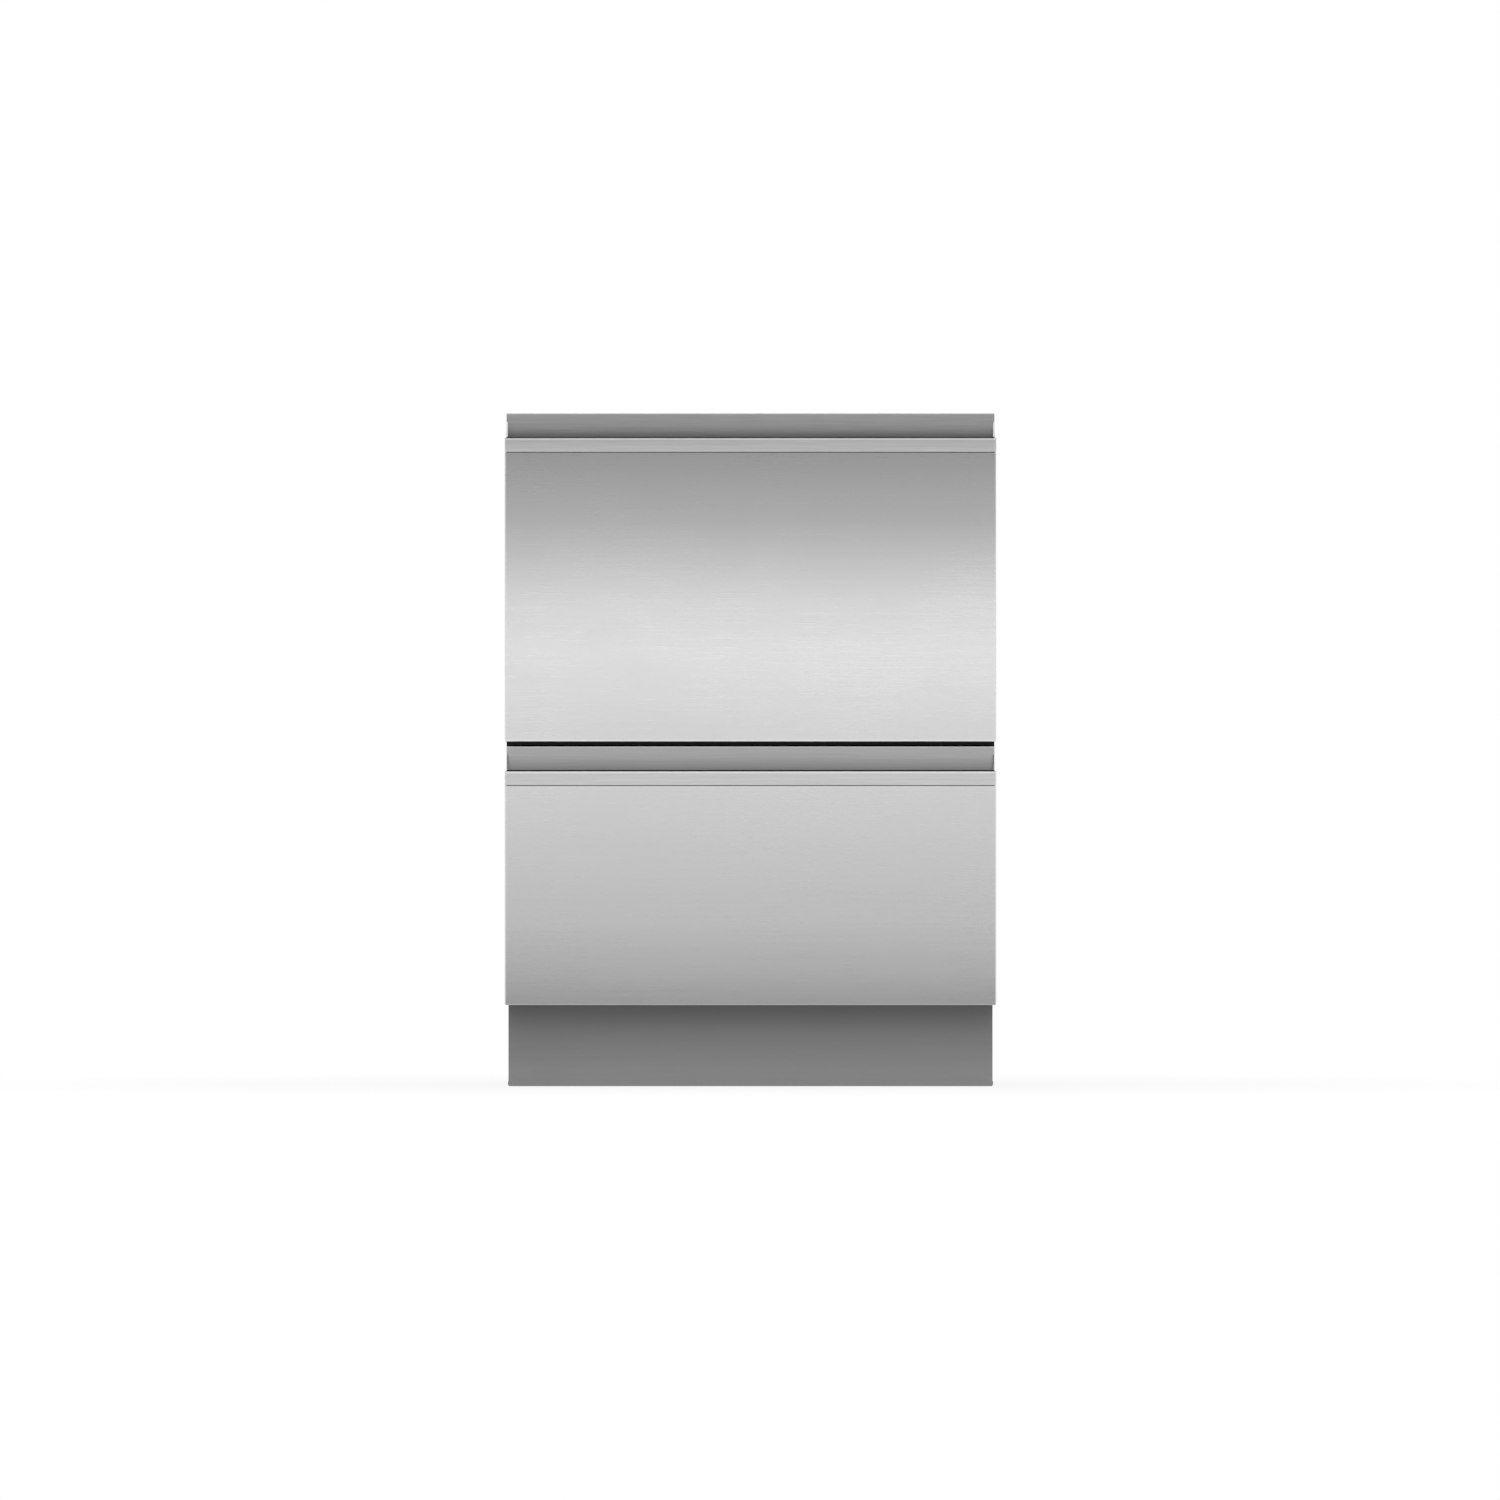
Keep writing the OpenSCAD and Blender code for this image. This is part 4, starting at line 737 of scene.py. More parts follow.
def wrap(mesh, height, thickness, outline, z, holes=(), edge=0.3):
    """A wall on an outline: a flat strip is cut with its holes, then bent round to the outline."""
    count = len(outline)
    marks = [0.0]
    for i in range(count):
        marks.append(marks[-1] + (outline[(i + 1) % count] - outline[i]).length)
    strip = bmesh.new()
    blank = points((0, 0), (marks[-1], 0), (marks[-1], height), (0, height))
    plate(strip, [blank, *holes], thickness, edge=edge)
    for mark in marks[1:-1]:
        everything = [*strip.verts, *strip.edges, *strip.faces]
        bmesh.ops.bisect_plane(strip, geom=everything, plane_co=(mark, 0, 0), plane_no=(1, 0, 0))
    outward = []
    for i in range(count):
        way = (outline[(i + 1) % count] - outline[i - 1]).normalized()
        outward.append(Vector((way.y, -way.x)))
    for v in strip.verts:
        i = next((k for k in range(count) if v.co.x <= marks[k + 1] + 1e-6), count - 1)
        share = (v.co.x - marks[i]) / (marks[i + 1] - marks[i])
        j = (i + 1) % count
        out = outward[i].lerp(outward[j], share).normalized()
        spot = outline[i].lerp(outline[j], share) + out * v.co.z
        v.co = (spot.x, spot.y, z + v.co.y)
    bent = bpy.data.meshes.new("strip")
    strip.to_mesh(bent)
    strip.free()
    mesh.from_mesh(bent)
    bpy.data.meshes.remove(bent)


print("three tools for flat things ready")


# %% Putting shapes in their place
def moved(x, y, z=0):
    """Carries a shape that was drawn round the origin to this place."""
    return Matrix.Translation((x, y, z))


def to_rear(x, y, z):
    """Carries a shape that was drawn upwards to this place, pointing to the rear."""
    return moved(x, y, z) @ Vector((0, 1, 0)).to_track_quat("Z", "Y").to_matrix().to_4x4()


def in_plane_xz(y):
    """Puts a flat shape, drawn in x and y, upright in x and z at this y."""
    return moved(0, y) @ Matrix.Rotation(math.pi / 2, 4, "X")


def in_plane_yz(x):
    """Puts a flat shape, drawn in x and y, upright in y and z at this x."""
    return moved(x, 0) @ Matrix(((0, 0, 1, 0), (1, 0, 0, 0), (0, 1, 0, 0), (0, 0, 0, 1)))


print("four ways to place a shape ready")

# %% [markdown]
# ## From a mesh to a piece
# A mesh in the making becomes a piece of the object here. It is scaled to metres, gets smooth
# shading with crisp creases and, when it is a sheet, its thickness. It moves with the body
# that its CAD node belongs to, wears that node's finish and stands for it.

# %% Turning a mesh into a piece
DRAWERS = ("upper", "lower")
made = {}


def piece(name, mesh, node, stands_for=True, slot=None, crease=35, solid=None, origin=(0, 0, 0)):
    """Ends a mesh: it takes the finish and body of a CAD node and, as a rule, stands for it.

    Solid is the thickness of a sheet, which grows behind its faces.
    """
    bmesh.ops.remove_doubles(mesh, verts=mesh.verts, dist=1e-4)
    bmesh.ops.recalc_face_normals(mesh, faces=mesh.faces)
    mesh.transform(Matrix.Translation(-Vector(origin)))
    mesh.transform(Matrix.Scale(MM, 4))
    data = bpy.data.meshes.new(name)
    mesh.to_mesh(data)
    mesh.free()
    data.shade_smooth()
    data.set_sharp_from_angle(angle=math.radians(crease))
    thing = into_scene(bpy.data.objects.new(name, data))
    thing.location = Vector(origin) * MM
    if solid:
        wall = thing.modifiers.new("wall", "SOLIDIFY")
        wall.thickness, wall.offset, wall.use_even_offset = solid * MM, -1, True
        shade_flats(thing)
    slot = slot or slot_of[node]
    data.materials.append(finishes[slot])
    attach(thing, body_of[node])
    if stands_for:
        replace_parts(thing, node)
    made[name] = thing
    return thing


def report(thing):
    """Prints a piece's name and how many points it has."""
    print(thing.name, len(thing.data.vertices), "points")


def for_both(*builders):
    """Makes the pieces of these functions for the upper drawer, then for the lower one."""
    for drawer in DRAWERS:
        for build in builders:
            report(build(drawer))


print("pieces take their body and finish from the node they stand for")

# %% [markdown]
# ## The two steel fronts
# Each front is one sheet of stainless, folded back along its sides and its foot. The fold
# has a radius of 2 mm, and that thin curve catches the light down each side and along the
# lower edge, helped by a painted highlight on it. Here the outside is lofted from U-shaped
# rows, the last of which roll under at the foot, and a modifier gives it the sheet's thickness.

# %% The fronts' skins
SHEET = 1.0
FOLD = 2.0
FOLD_STEPS = 6


def front_skin(drawer):
    """One folded sheet, from its top edge down to the fold at its foot."""
    low, high = cad(f"{drawer}_front_panel")

    def row(inset, height):
        left, right, front = low.x + inset, high.x - inset, low.y + inset
        corners = points((left, high.y), (left, front), (right, front), (right, high.y))
        bends = [0, max(FOLD - inset, 0.3), max(FOLD - inset, 0.3), 0]
        return level(rounded(corners, bends, 6, closed=False), height)

    mesh = bmesh.new()
    heights = [high.z, high.z - 8, (low.z + high.z) / 2, low.z + 10]
    rows = [row(0, h) for h in heights]
    for step in range(FOLD_STEPS + 1):
        turn = math.pi / 2 * step / FOLD_STEPS
        rows.append(row(FOLD * (1 - math.cos(turn)), low.z + FOLD * (1 - math.sin(turn))))
    loft(mesh, rows, ring_closed=False, caps=(False, True))
    origin = (0, low.y, 0)
    return piece(f"{drawer}_front_skin", mesh, f"{drawer}_front_panel", solid=SHEET, origin=origin)


for_both(front_skin)

# %% [markdown]
# ## The handles
# A handle is a length of extruded aluminium in a matching brushed finish. Its section has a
# front lip, a channel for the fingers and a wall behind that stands above the lip. The
# section is drawn once, with a radius at each corner, and drawn out to the front's width.
# The lip runs 2 mm further at each end than the rest, so its end faces are pulled out.

# %% The handles' extrusion
REVEAL = 30.0
LIP = 17.5
LIP_DEEP = 3.3
LIP_FOOT = 1.3
CHANNEL_FLOOR = 52.0
WALL = 2.0
END_STEP = 2.0
CAP_LAP = 0.2


def handle(drawer):
    """The extrusion with its longer lip, and a cap that closes its channel at each end."""
    low, high = cad(f"{drawer}_handle")
    deep = high.y - low.y
    lip_foot = -REVEAL - LIP
    corners = [
        (deep, 0, 0.6), (deep - WALL, 0, 0.6), (deep - WALL, -CHANNEL_FLOOR, 7),
        (LIP_DEEP, -CHANNEL_FLOOR, 3), (LIP_DEEP, lip_foot, 0), (LIP_DEEP, -REVEAL, 1.2),
        (0, -REVEAL, 1.2), (0, lip_foot, 0.5), (LIP_FOOT, lip_foot, 0),
        (LIP_FOOT, -CHANNEL_FLOOR - WALL, 0.3), (deep, -CHANNEL_FLOOR - WALL, 0.5),
    ]
    flat = rounded(points(*[c[:2] for c in corners]), [c[2] for c in corners], 6)
    section = [(low.y + p.x, high.z + p.y) for p in flat]
    lip_first = next(i for i, p in enumerate(flat) if p == Vector((LIP_DEEP, lip_foot)))
    lip_last = next(i for i, p in enumerate(flat) if p == Vector((LIP_FOOT, lip_foot)))
    mesh = bmesh.new()
    ends = []
    for side, x in ((-1, low.x + END_STEP), (1, high.x - END_STEP)):
        ring = [mesh.verts.new((x, y, z)) for y, z in section]
        lip = ring[lip_first:lip_last + 1]
        rest = ring[lip_last:] + ring[:lip_first + 1]
        mesh.faces.new(rest)
        tip = [mesh.verts.new(v.co + Vector((side * END_STEP, 0, 0))) for v in lip]
        for i in range(len(lip)):
            j = (i + 1) % len(lip)
            mesh.faces.new((lip[i], lip[j], tip[j], tip[i]))
        mesh.faces.new(tip)
        ends.append(ring)
    count = len(section)
    for i in range(count):
        j = (i + 1) % count
        mesh.faces.new((ends[0][i], ends[0][j], ends[1][j], ends[1][i]))
    cap = [(low.y + a, high.z + b) for a, b in (
        (LIP_DEEP - CAP_LAP, -CHANNEL_FLOOR), (deep - WALL + CAP_LAP, -CHANNEL_FLOOR),
        (deep - WALL + CAP_LAP, -8), (LIP_DEEP - CAP_LAP, -REVEAL - 1.6),
    )]
    for x in (low.x + END_STEP + 1, high.x - END_STEP - 1):
        outline = rounded(points(*cap), [0, 0, 1.5, 1.5], 4)
        plate(mesh, [outline], 2, in_plane_yz(x), 0.35)
    origin = (0, low.y, high.z)
    return piece(f"{drawer}_handle_bar", mesh, f"{drawer}_handle", crease=28, origin=origin)


for_both(handle)

# %% [markdown]
# ## The toe kick
# A tray of brushed sheet, set back under the lower front. Its four edges are folded back,
# so it is lofted as round-cornered rings that roll over the fold and run to the rear.
# Its foot ends a hair above the floor, so that no light shows under it.

# %% The toe kick
KICK_FOLD = 0.6
KICK_SHEET = 1.2
KICK_FOOT = 0.3
KICK_FOLD_STEPS = 5


def toe_kick():
    """The tray, from the middle of its face over the fold to its rear edge."""
    low, high = cad("toe_kick")

    def ring(inset, y):
        outline = frame_outline(
            (low.x + inset, high.x - inset), (KICK_FOOT + inset, high.z - inset),
            max(KICK_FOLD + 0.4 - inset, 0.3), 4)
        return [Vector((p.x, y, p.y)) for p in outline]

    mesh = bmesh.new()
    rings = []
    for step in range(KICK_FOLD_STEPS + 1):
        turn = math.pi / 2 * step / KICK_FOLD_STEPS
        rings.append(ring(KICK_FOLD * (1 - math.sin(turn)), low.y + KICK_FOLD * (1 - math.cos(turn))))
    rings += [ring(0, low.y + 8), ring(0, high.y)]
    loft(mesh, rings, caps=(True, False))
    return piece("toe_kick_tray", mesh, "toe_kick", solid=KICK_SHEET)


report(toe_kick())

# %% [markdown]
# ## The racks
# A rack is a basket of round wire, spot-welded and then dipped in nylon. Each hoop is one
# length of wire bent up at both ends, so it makes the floor and two uprights at once. The
# hoops that run back to front lie on the ones that run across. A rim closes them at the top,
# level loops stiffen the walls, and the plate tines are hairpins welded beside the hoops.

# %% Racks
WIRE = 2.0
RACK_RISE = 39.0
HOOPS_X, HOOPS_Y = 13, 11
TINE_RISE = 57.6
TINE_LEAN = 3.5
DROP, TINE = (2.1, 2.2), 1.65
WALL_BEND = 13
TINE_COLUMNS = range(4, 10)
TINE_PAIRS = (2, 4, 6, 8)


def spaced(low, high, count):
    """Count gaps between low and high, as their ends."""
    return [low + (high - low) * i / count for i in range(count + 1)]


def hairpin(mesh, x, y, foot, top):
    """Two plate tines from one wire, leaning a little, with a drop of nylon on each tip."""
    corners = points((x, y[0] - TINE_LEAN, top), (x, y[0], foot), (x, y[1], foot),
                     (x, y[1] - TINE_LEAN, top))
    path = rounded(corners, [0, 6, 6, 0], 4, closed=False)
    head = (path[1] - path[0]).normalized()
    tail = (path[-2] - path[-1]).normalized()
    path = [path[0], path[0] + head * 2, path[0] + head * 4, *path[1:-1],
            path[-1] + tail * 4, path[-1] + tail * 2, path[-1]]
    sizes = [*DROP, *[TINE] * (len(path) - 4), *DROP[::-1]]
    tube(mesh, path, DROP[0], 8, ribs=sizes)


def hoops(drawer):
    """A rack's corners, and where its wires run on x and on y."""
    low, high = cad(f"{drawer}_rack")
    xs = spaced(low.x + WIRE, high.x - WIRE, HOOPS_X)
    ys = spaced(low.y + WIRE, high.y - WIRE, HOOPS_Y)
    return low, high, xs, ys


def rack(drawer):
    """The basket of hoops, with its rim, its wall loops and its tines."""
    low, high, xs, ys = hoops(drawer)
    base, top = low.z + RACK_RISE, high.z - WIRE
    across, along = base + WIRE, base + 2.9 * WIRE
    mesh = bmesh.new()
    for y in ys[1:-1]:
        corners = points((xs[0], y, top), (xs[0], y, across), (xs[-1], y, across), (xs[-1], y, top))
        tube(mesh, rounded(corners, [0, WALL_BEND, WALL_BEND, 0], 5, closed=False), WIRE * 0.9)
    for x in xs[1:-1]:
        corners = points((x, ys[0], top), (x, ys[0], along), (x, ys[-1], along), (x, ys[-1], top))
        tube(mesh, rounded(corners, [0, WALL_BEND, WALL_BEND, 0], 5, closed=False), WIRE * 0.9)
    rim = frame_outline((xs[0], xs[-1]), (ys[0], ys[-1]), 24, 8)
    tube(mesh, level(rim, top), WIRE, 10, closed=True)
    rows = 3 if top - base > 100 else 2
    inside = 1.85 * WIRE
    belt = frame_outline((xs[0] + inside, xs[-1] - inside), (ys[0] + inside, ys[-1] - inside), 20, 6)
    for row in range(1, rows):
        height = base + (top - base) * row / rows
        tube(mesh, level(belt, height), WIRE * 0.85, 8, closed=True)
    for i in TINE_COLUMNS:
        for j in TINE_PAIRS:
            hairpin(mesh, xs[i] + inside, (ys[j], ys[j + 1]), along, base + TINE_RISE)
    return piece(f"{drawer}_rack_wires", mesh, f"{drawer}_rack", crease=60)


hairpins = len(TINE_COLUMNS) * len(TINE_PAIRS)
print("a rack has", HOOPS_X - 1 + HOOPS_Y - 1, "hoops and", hairpins, "hairpins")

# %% [markdown]
# ## What clips onto the racks
# The wire basket stands on four moulded feet that clip over its crossing wires. Ears on one
# side hold the rod of the cup shelf, which folds up to make room for tall plates. The ears
# are flat plates with a hole, so they are cut out and not lofted.

# %% Fittings of the racks
FOOT_SHAPE = ((0, 5.0), (0.8, 5.8), (4, 5.8), (8, 4.4), (28, 4.4), (33, 5.8), (44.5, 5.8), (45.3, 5.0))
EAR = 5.0


def rack_fittings(drawer):
    """The feet that clip over the crossing wires, and the ears that carry the cup shelf."""
    low, high, xs, ys = hoops(drawer)
    mesh = bmesh.new()
    for x in (xs[1], xs[-2]):
        for y in (ys[1], ys[-2]):
            rings = []
            for rise, half in FOOT_SHAPE:
                outline = frame_outline((x - half, x + half), (y - half, y + half), 2.2, 3)
                rings.append(level(outline, low.z + rise))
            loft(mesh, rings)
    shelf_low, shelf_high = cad(f"{drawer}_cup_rack")
    pin_x, pin_z = shelf_low.x + WIRE, (shelf_low.z + shelf_high.z) / 2
    top = high.z - WIRE
    for y in (shelf_low.y + EAR / 2, shelf_high.y - EAR / 2):
        corners = points(
            (xs[0] - 3.4, top + 2), (xs[0] + 4, top + 2), (pin_x + EAR, pin_z + EAR),
            (pin_x + EAR, pin_z - EAR), (xs[0] + 3, pin_z - EAR - 6), (xs[0] - 3.4, top - 4))
        outline = rounded(corners, [1.8, 2, 4, 4, 2.5, 1.8], 4)
        plate(mesh, [outline, circle(pin_x, pin_z, WIRE + 0.1, 20)], EAR, in_plane_xz(y), 0.6)
    return piece(f"{drawer}_rack_fittings", mesh, f"{drawer}_rack", False, "link_plastic")


def cup_shelf(drawer):
    """A wire shelf on a pivot rod. Two rails on its wires keep glasses upright."""
    low, high = cad(f"{drawer}_cup_rack")
    x, z = low.x + WIRE, (low.z + high.z) / 2
    far = high.x - WIRE
    y = (low.y + EAR + 0.3 + WIRE, high.y - EAR - 0.3 - WIRE)
    mesh = bmesh.new()
    tube(mesh, points((x, low.y + 1, z), (x, high.y - 1, z)), WIRE, 16)
    corners = points((x, y[0], z), (far, y[0], z), (far, y[1], z), (x, y[1], z))
    tube(mesh, rounded(corners, [0, 12, 12, 0], 5, closed=False), WIRE)
    for spot in spaced(y[0], y[1], 10)[1:-1]:
        dip = points((x, spot, z), (x + 12, spot, z), (x + 22, spot, z - 1.6),
                     (far - 22, spot, z - 1.6), (far - 12, spot, z), (far, spot, z))
        tube(mesh, rounded(dip, [0, 8, 8, 8, 8, 0], 3, closed=False), WIRE * 0.8)
    for reach in (0.36, 0.64):
        spot = x + (far - x) * reach
        tube(mesh, points((spot, y[0], z + 1.4), (spot, y[1], z + 1.4)), WIRE * 0.75)
    return piece(f"{drawer}_cup_shelf", mesh, f"{drawer}_cup_rack", crease=60)


for_both(rack, rack_fittings, cup_shelf)

# %% [markdown]
# ## The cutlery baskets
# A moulded basket has a wall full of slots that turns round its corners without a seam. That
# is hard to loft and easy to bend: the wall is cut flat, with rows of slots, and wrapped on
# the basket's outline. A spine with a hand hole and two cross walls part the inside.

# %% Cutlery baskets
BASKET_SLOTS = 9
BASKET_ROWS = ((14, 36), (42, 64), (70, 92))
BASKET_RIM = 1.9


def cutlery_basket(drawer):
    """The wrapped wall with its slots, the slotted floor, the rim, the spine and cross walls."""
    low, high = cad(f"{drawer}_cutlery_basket")
    wall, radius, steps, slots = 2.5, 9.0, 5, BASKET_SLOTS
    middle = wall / 2
    outline = taken_in(low, high, middle, radius, steps)
    bend = sum((outline[i + 1] - outline[i]).length for i in range(steps))
    width = high.x - low.x - wall - 2 * radius
    length = high.y - low.y - wall - 2 * radius
    first = middle + radius
    pitch = (high.y - low.y) / slots
    holes = []
    for i in range(slots):
        rise = pitch * (i + 0.5) - first
        for spot in (2 * bend + width + rise, 4 * bend + 2 * width + 2 * length - rise):
            for z in BASKET_ROWS:
                holes.append(stadium((spot - 3, spot + 3), z))
    mesh = bmesh.new()
    wrap(mesh, high.z - low.z, wall, outline, low.z, holes, 0.5)
    floor = taken_in(low, high, 1, radius, steps)
    gaps = []
    for i in range(slots):
        y = low.y + pitch * (i + 0.5)
        for x in ((low.x + 10, low.x + 38), (high.x - 38, high.x - 10)):
            gaps.append(stadium(x, (y - 3, y + 3)))
    plate(mesh, [floor, *gaps], wall, moved(0, 0, low.z + middle), 0.4)
    tube(mesh, level(outline, high.z - BASKET_RIM), BASKET_RIM, 10, closed=True)
    centre = (low.x + high.x) / 2
    ends, grip = (low.y + 2, high.y - 2), (low.y + 60, high.y - 60)
    spine = points((ends[0], low.z + 1), (ends[1], low.z + 1), (ends[1], low.z + 66),
                   (grip[1], low.z + 70), (grip[1] - 14, high.z - 0.5), (grip[0] + 14, high.z - 0.5),
                   (grip[0], low.z + 70), (ends[0], low.z + 66))
    hand = stadium((grip[0] + 20, grip[1] - 20), (high.z - 26, high.z - 8))
    plate(mesh, [rounded(spine, [0, 0, 4, 10, 10, 10, 10, 4], 4), hand], 2.2, in_plane_yz(centre), 0.5)
    for y in (low.y + pitch * 3, low.y + pitch * 6):
        cross = points((low.x + 2, low.z + 1), (high.x - 2, low.z + 1), (high.x - 2, low.z + 70),
                       (low.x + 2, low.z + 70))
        plate(mesh, [rounded(cross, [0, 0, 5, 5], 4)], 1.8, in_plane_xz(y), 0.4)
    return piece(f"{drawer}_cutlery_caddy", mesh, f"{drawer}_cutlery_basket", crease=40)


for_both(cutlery_basket)

# %% [markdown]
# ## The tubs
# A tub is moulded in one shot: a flat rim for the lid's seal, steep walls with round corners,
# a cove where wall meets floor, and a round sump in the middle. Only its inside is lofted,
# ring by ring from the rim to the shaft's hole, and a modifier gives it its wall. Every ring
# has its points in the same directions from the middle, so the change from a rounded
# rectangle to a circle stays smooth. One face is left out for the dispenser's window.

# %% Tubs
TUB_WALL = 3.0
RIM = 8.0
TUB_CORNER = 40.0
TUB_COVE = 16.0
SUMP = 107.0
SUMP_DEEP = 24.0
WINDOW = 85.3
SHAFT_HOLE = 4.3
TUB_HALF_WIDTH = 270.0
TUB_DEPTH = 471.0
WINDOW_LAP = 4.7
CORNER_STEPS = 8


def tub_ring(box, inset, z):
    """A ring round the tub, taken in by inset from its rim, with two points at the window."""
    outline = taken_in(*box, inset, TUB_CORNER + RIM - inset, CORNER_STEPS)
    front = box[0].y + inset
    outline[CORNER_STEPS + 1:CORNER_STEPS + 1] = points((-WINDOW, front), (WINDOW, front))
    return level(outline, z)


def sump_ring(like, middle, radius, z):
    """A circle with its points in the same directions as another ring's."""
    ring = []
    for p in like:
        way = Vector((p.x - middle.x, p.y - middle.y)).normalized() * radius
        ring.append(Vector((middle.x + way.x, middle.y + way.y, z)))
    return ring


def tub_box(drawer):
    """The corners of the tub's rim. The rest of the CAD node hangs below it or behind it."""
    low, high = cad(f"{drawer}_tub")
    rear = low.y + TUB_DEPTH
    return Vector((-TUB_HALF_WIDTH, low.y, low.z)), Vector((TUB_HALF_WIDTH, rear, high.z))


def quarter(steps=6):
    """A quarter turn, step by step: its sine, and how far its cosine has come down from 1."""
    turns = [math.pi / 2 * i / steps for i in range(1, steps + 1)]
    return [(math.sin(a), 1 - math.cos(a)) for a in turns]


def tub(drawer):
    """The inside of a tub, ring by ring: rim, walls, cove, floor, sump and shaft hole."""
    box = tub_box(drawer)
    rim, floor = box[1].z, box[0].z + SUMP_DEEP + TUB_WALL
    middle = (box[0] + box[1]) / 2
    window = cad(f"{drawer}_dispenser")
    wall = RIM + TUB_WALL
    levels = [(0, rim - 4), (0, rim - 1), (0.3, rim - 0.3), (1, rim), (wall - 2, rim),
              (wall - 0.6, rim - 0.6), (wall, rim - 2), (wall, window[1].z - WINDOW_LAP),
              (wall, window[0].z + WINDOW_LAP), (wall, floor + TUB_COVE)]
    rings = [tub_ring(box, inset, z) for inset, z in levels]
    opening = (len(rings) - 3, CORNER_STEPS + 1)
    for sine, rest in quarter():
        rings.append(tub_ring(box, wall + TUB_COVE * rest, floor + TUB_COVE * (1 - sine)))
    like = rings[-1]
    sump_floor = floor - SUMP_DEEP
    for sine, rest in [(0.0, 0.0), *quarter(4)]:
        rings.append(sump_ring(like, middle, SUMP + 5 - 5 * sine, floor - 5 * rest))
    for sine, rest in [(0.0, 0.0), *quarter(4)]:
        rings.append(sump_ring(like, middle, SUMP - 8 * rest, sump_floor + 8 * (1 - sine)))
    rings.append(sump_ring(like, middle, 14, sump_floor))
    rings.append(sump_ring(like, middle, SHAFT_HOLE, sump_floor))
    mesh = bmesh.new()
    faces = loft(mesh, rings, caps=(False, False))
    count = len(rings[0])
    bmesh.ops.delete(mesh, geom=[faces[opening[0] * count + opening[1]]], context="FACES")
    return piece(f"{drawer}_tub_shell", mesh, f"{drawer}_tub", solid=TUB_WALL)


print("a tub has corners of", TUB_CORNER, "mm and a cove of", TUB_COVE, "mm")

# %% [markdown]
# ## What stands out from the tubs
# The runners bear on a flat land along each side. A tab at the rear carries the pin of the
# hose link, in a slot that lets the pin run a little ahead or behind. Twelve gussets stiffen
# the floor round the sump. They are plates, so that one tool makes all of them.

# %% What stands out from the tubs
LAND_INSET = 50
TAB_HALF, TAB_SLOT_HALF = 16, 4.3
GUSSETS = 12


def tub_lands(drawer):
    """Lands for the runners, the tab for the hose link, and gussets under the floor."""
    high = cad(f"{drawer}_tub")[1]
    box = tub_box(drawer)
    rail = sum(corner.z for corner in cad(f"{drawer}_inner_rails")) / 2
    mesh = bmesh.new()
    y = (box[0].y + RIM + LAND_INSET, box[1].y - RIM - LAND_INSET)
    for side in (-1, 1):
        x = sorted((side * (box[1].x - RIM - 1.5), side * (box[1].x - 0.05)))
        block(mesh, x, y, (rail - 8, rail + 8), 0.8)
    arm = cad(f"{drawer}_link_front_arm")
    tab_z = arm[0].z + 19
    pin = Vector((arm[0].x + 12, arm[0].y + 12))
    root = box[1].y - RIM - 20
    outline = rounded(points((pin.x - TAB_HALF, root), (pin.x + TAB_HALF, root), (pin.x + TAB_HALF, high.y),
                             (pin.x - TAB_HALF, high.y)), [0, 0, 7, 7], 6)
    slot_y = (pin.y - 16.3, pin.y + TAB_SLOT_HALF)
    slot = frame_outline((pin.x - TAB_SLOT_HALF, pin.x + TAB_SLOT_HALF), slot_y, TAB_SLOT_HALF - 0.1, 6)
    plate(mesh, [outline, slot], 4, moved(0, 0, tab_z + 2), 0.6)
    middle = (box[0] + box[1]) / 2
    under, foot = box[0].z + SUMP_DEEP + 0.5, box[0].z + 4
    for i in range(GUSSETS):
        turn = moved(middle.x, middle.y) @ Matrix.Rotation(2 * math.pi * (i + 0.5) / GUSSETS, 4, "Z")
        fin = points((SUMP, foot), (SUMP + 8, foot), (SUMP + 62, under), (SUMP, under))
        plate(mesh, [rounded(fin, [0, 3, 1, 0], 3)], 2.4, turn @ in_plane_xz(0), 0.4)
    return piece(f"{drawer}_tub_lands", mesh, f"{drawer}_tub", stands_for=False)


for_both(tub, tub_lands)

# %% [markdown]
# ## The wash system
# The filter plate is a disc full of small holes with a pump cover and a spindle at its
# middle. The spray arm turns on the spindle: a hollow blade with a crown, swept like a
# propeller so that its jets turn it. A lift-out filter with a slotted cup sits beside.

# %% Filter plates and drain filters
SPINDLE = 8.0
FILTER_AT = (-62.0, 30.0)
FILTER_RADIUS = 28.0
HOLE_RINGS = range(40, 101, 12)
HOLE_PITCH = 12.5
CUP_SIDES, CUP_SLOTS = 48, 36


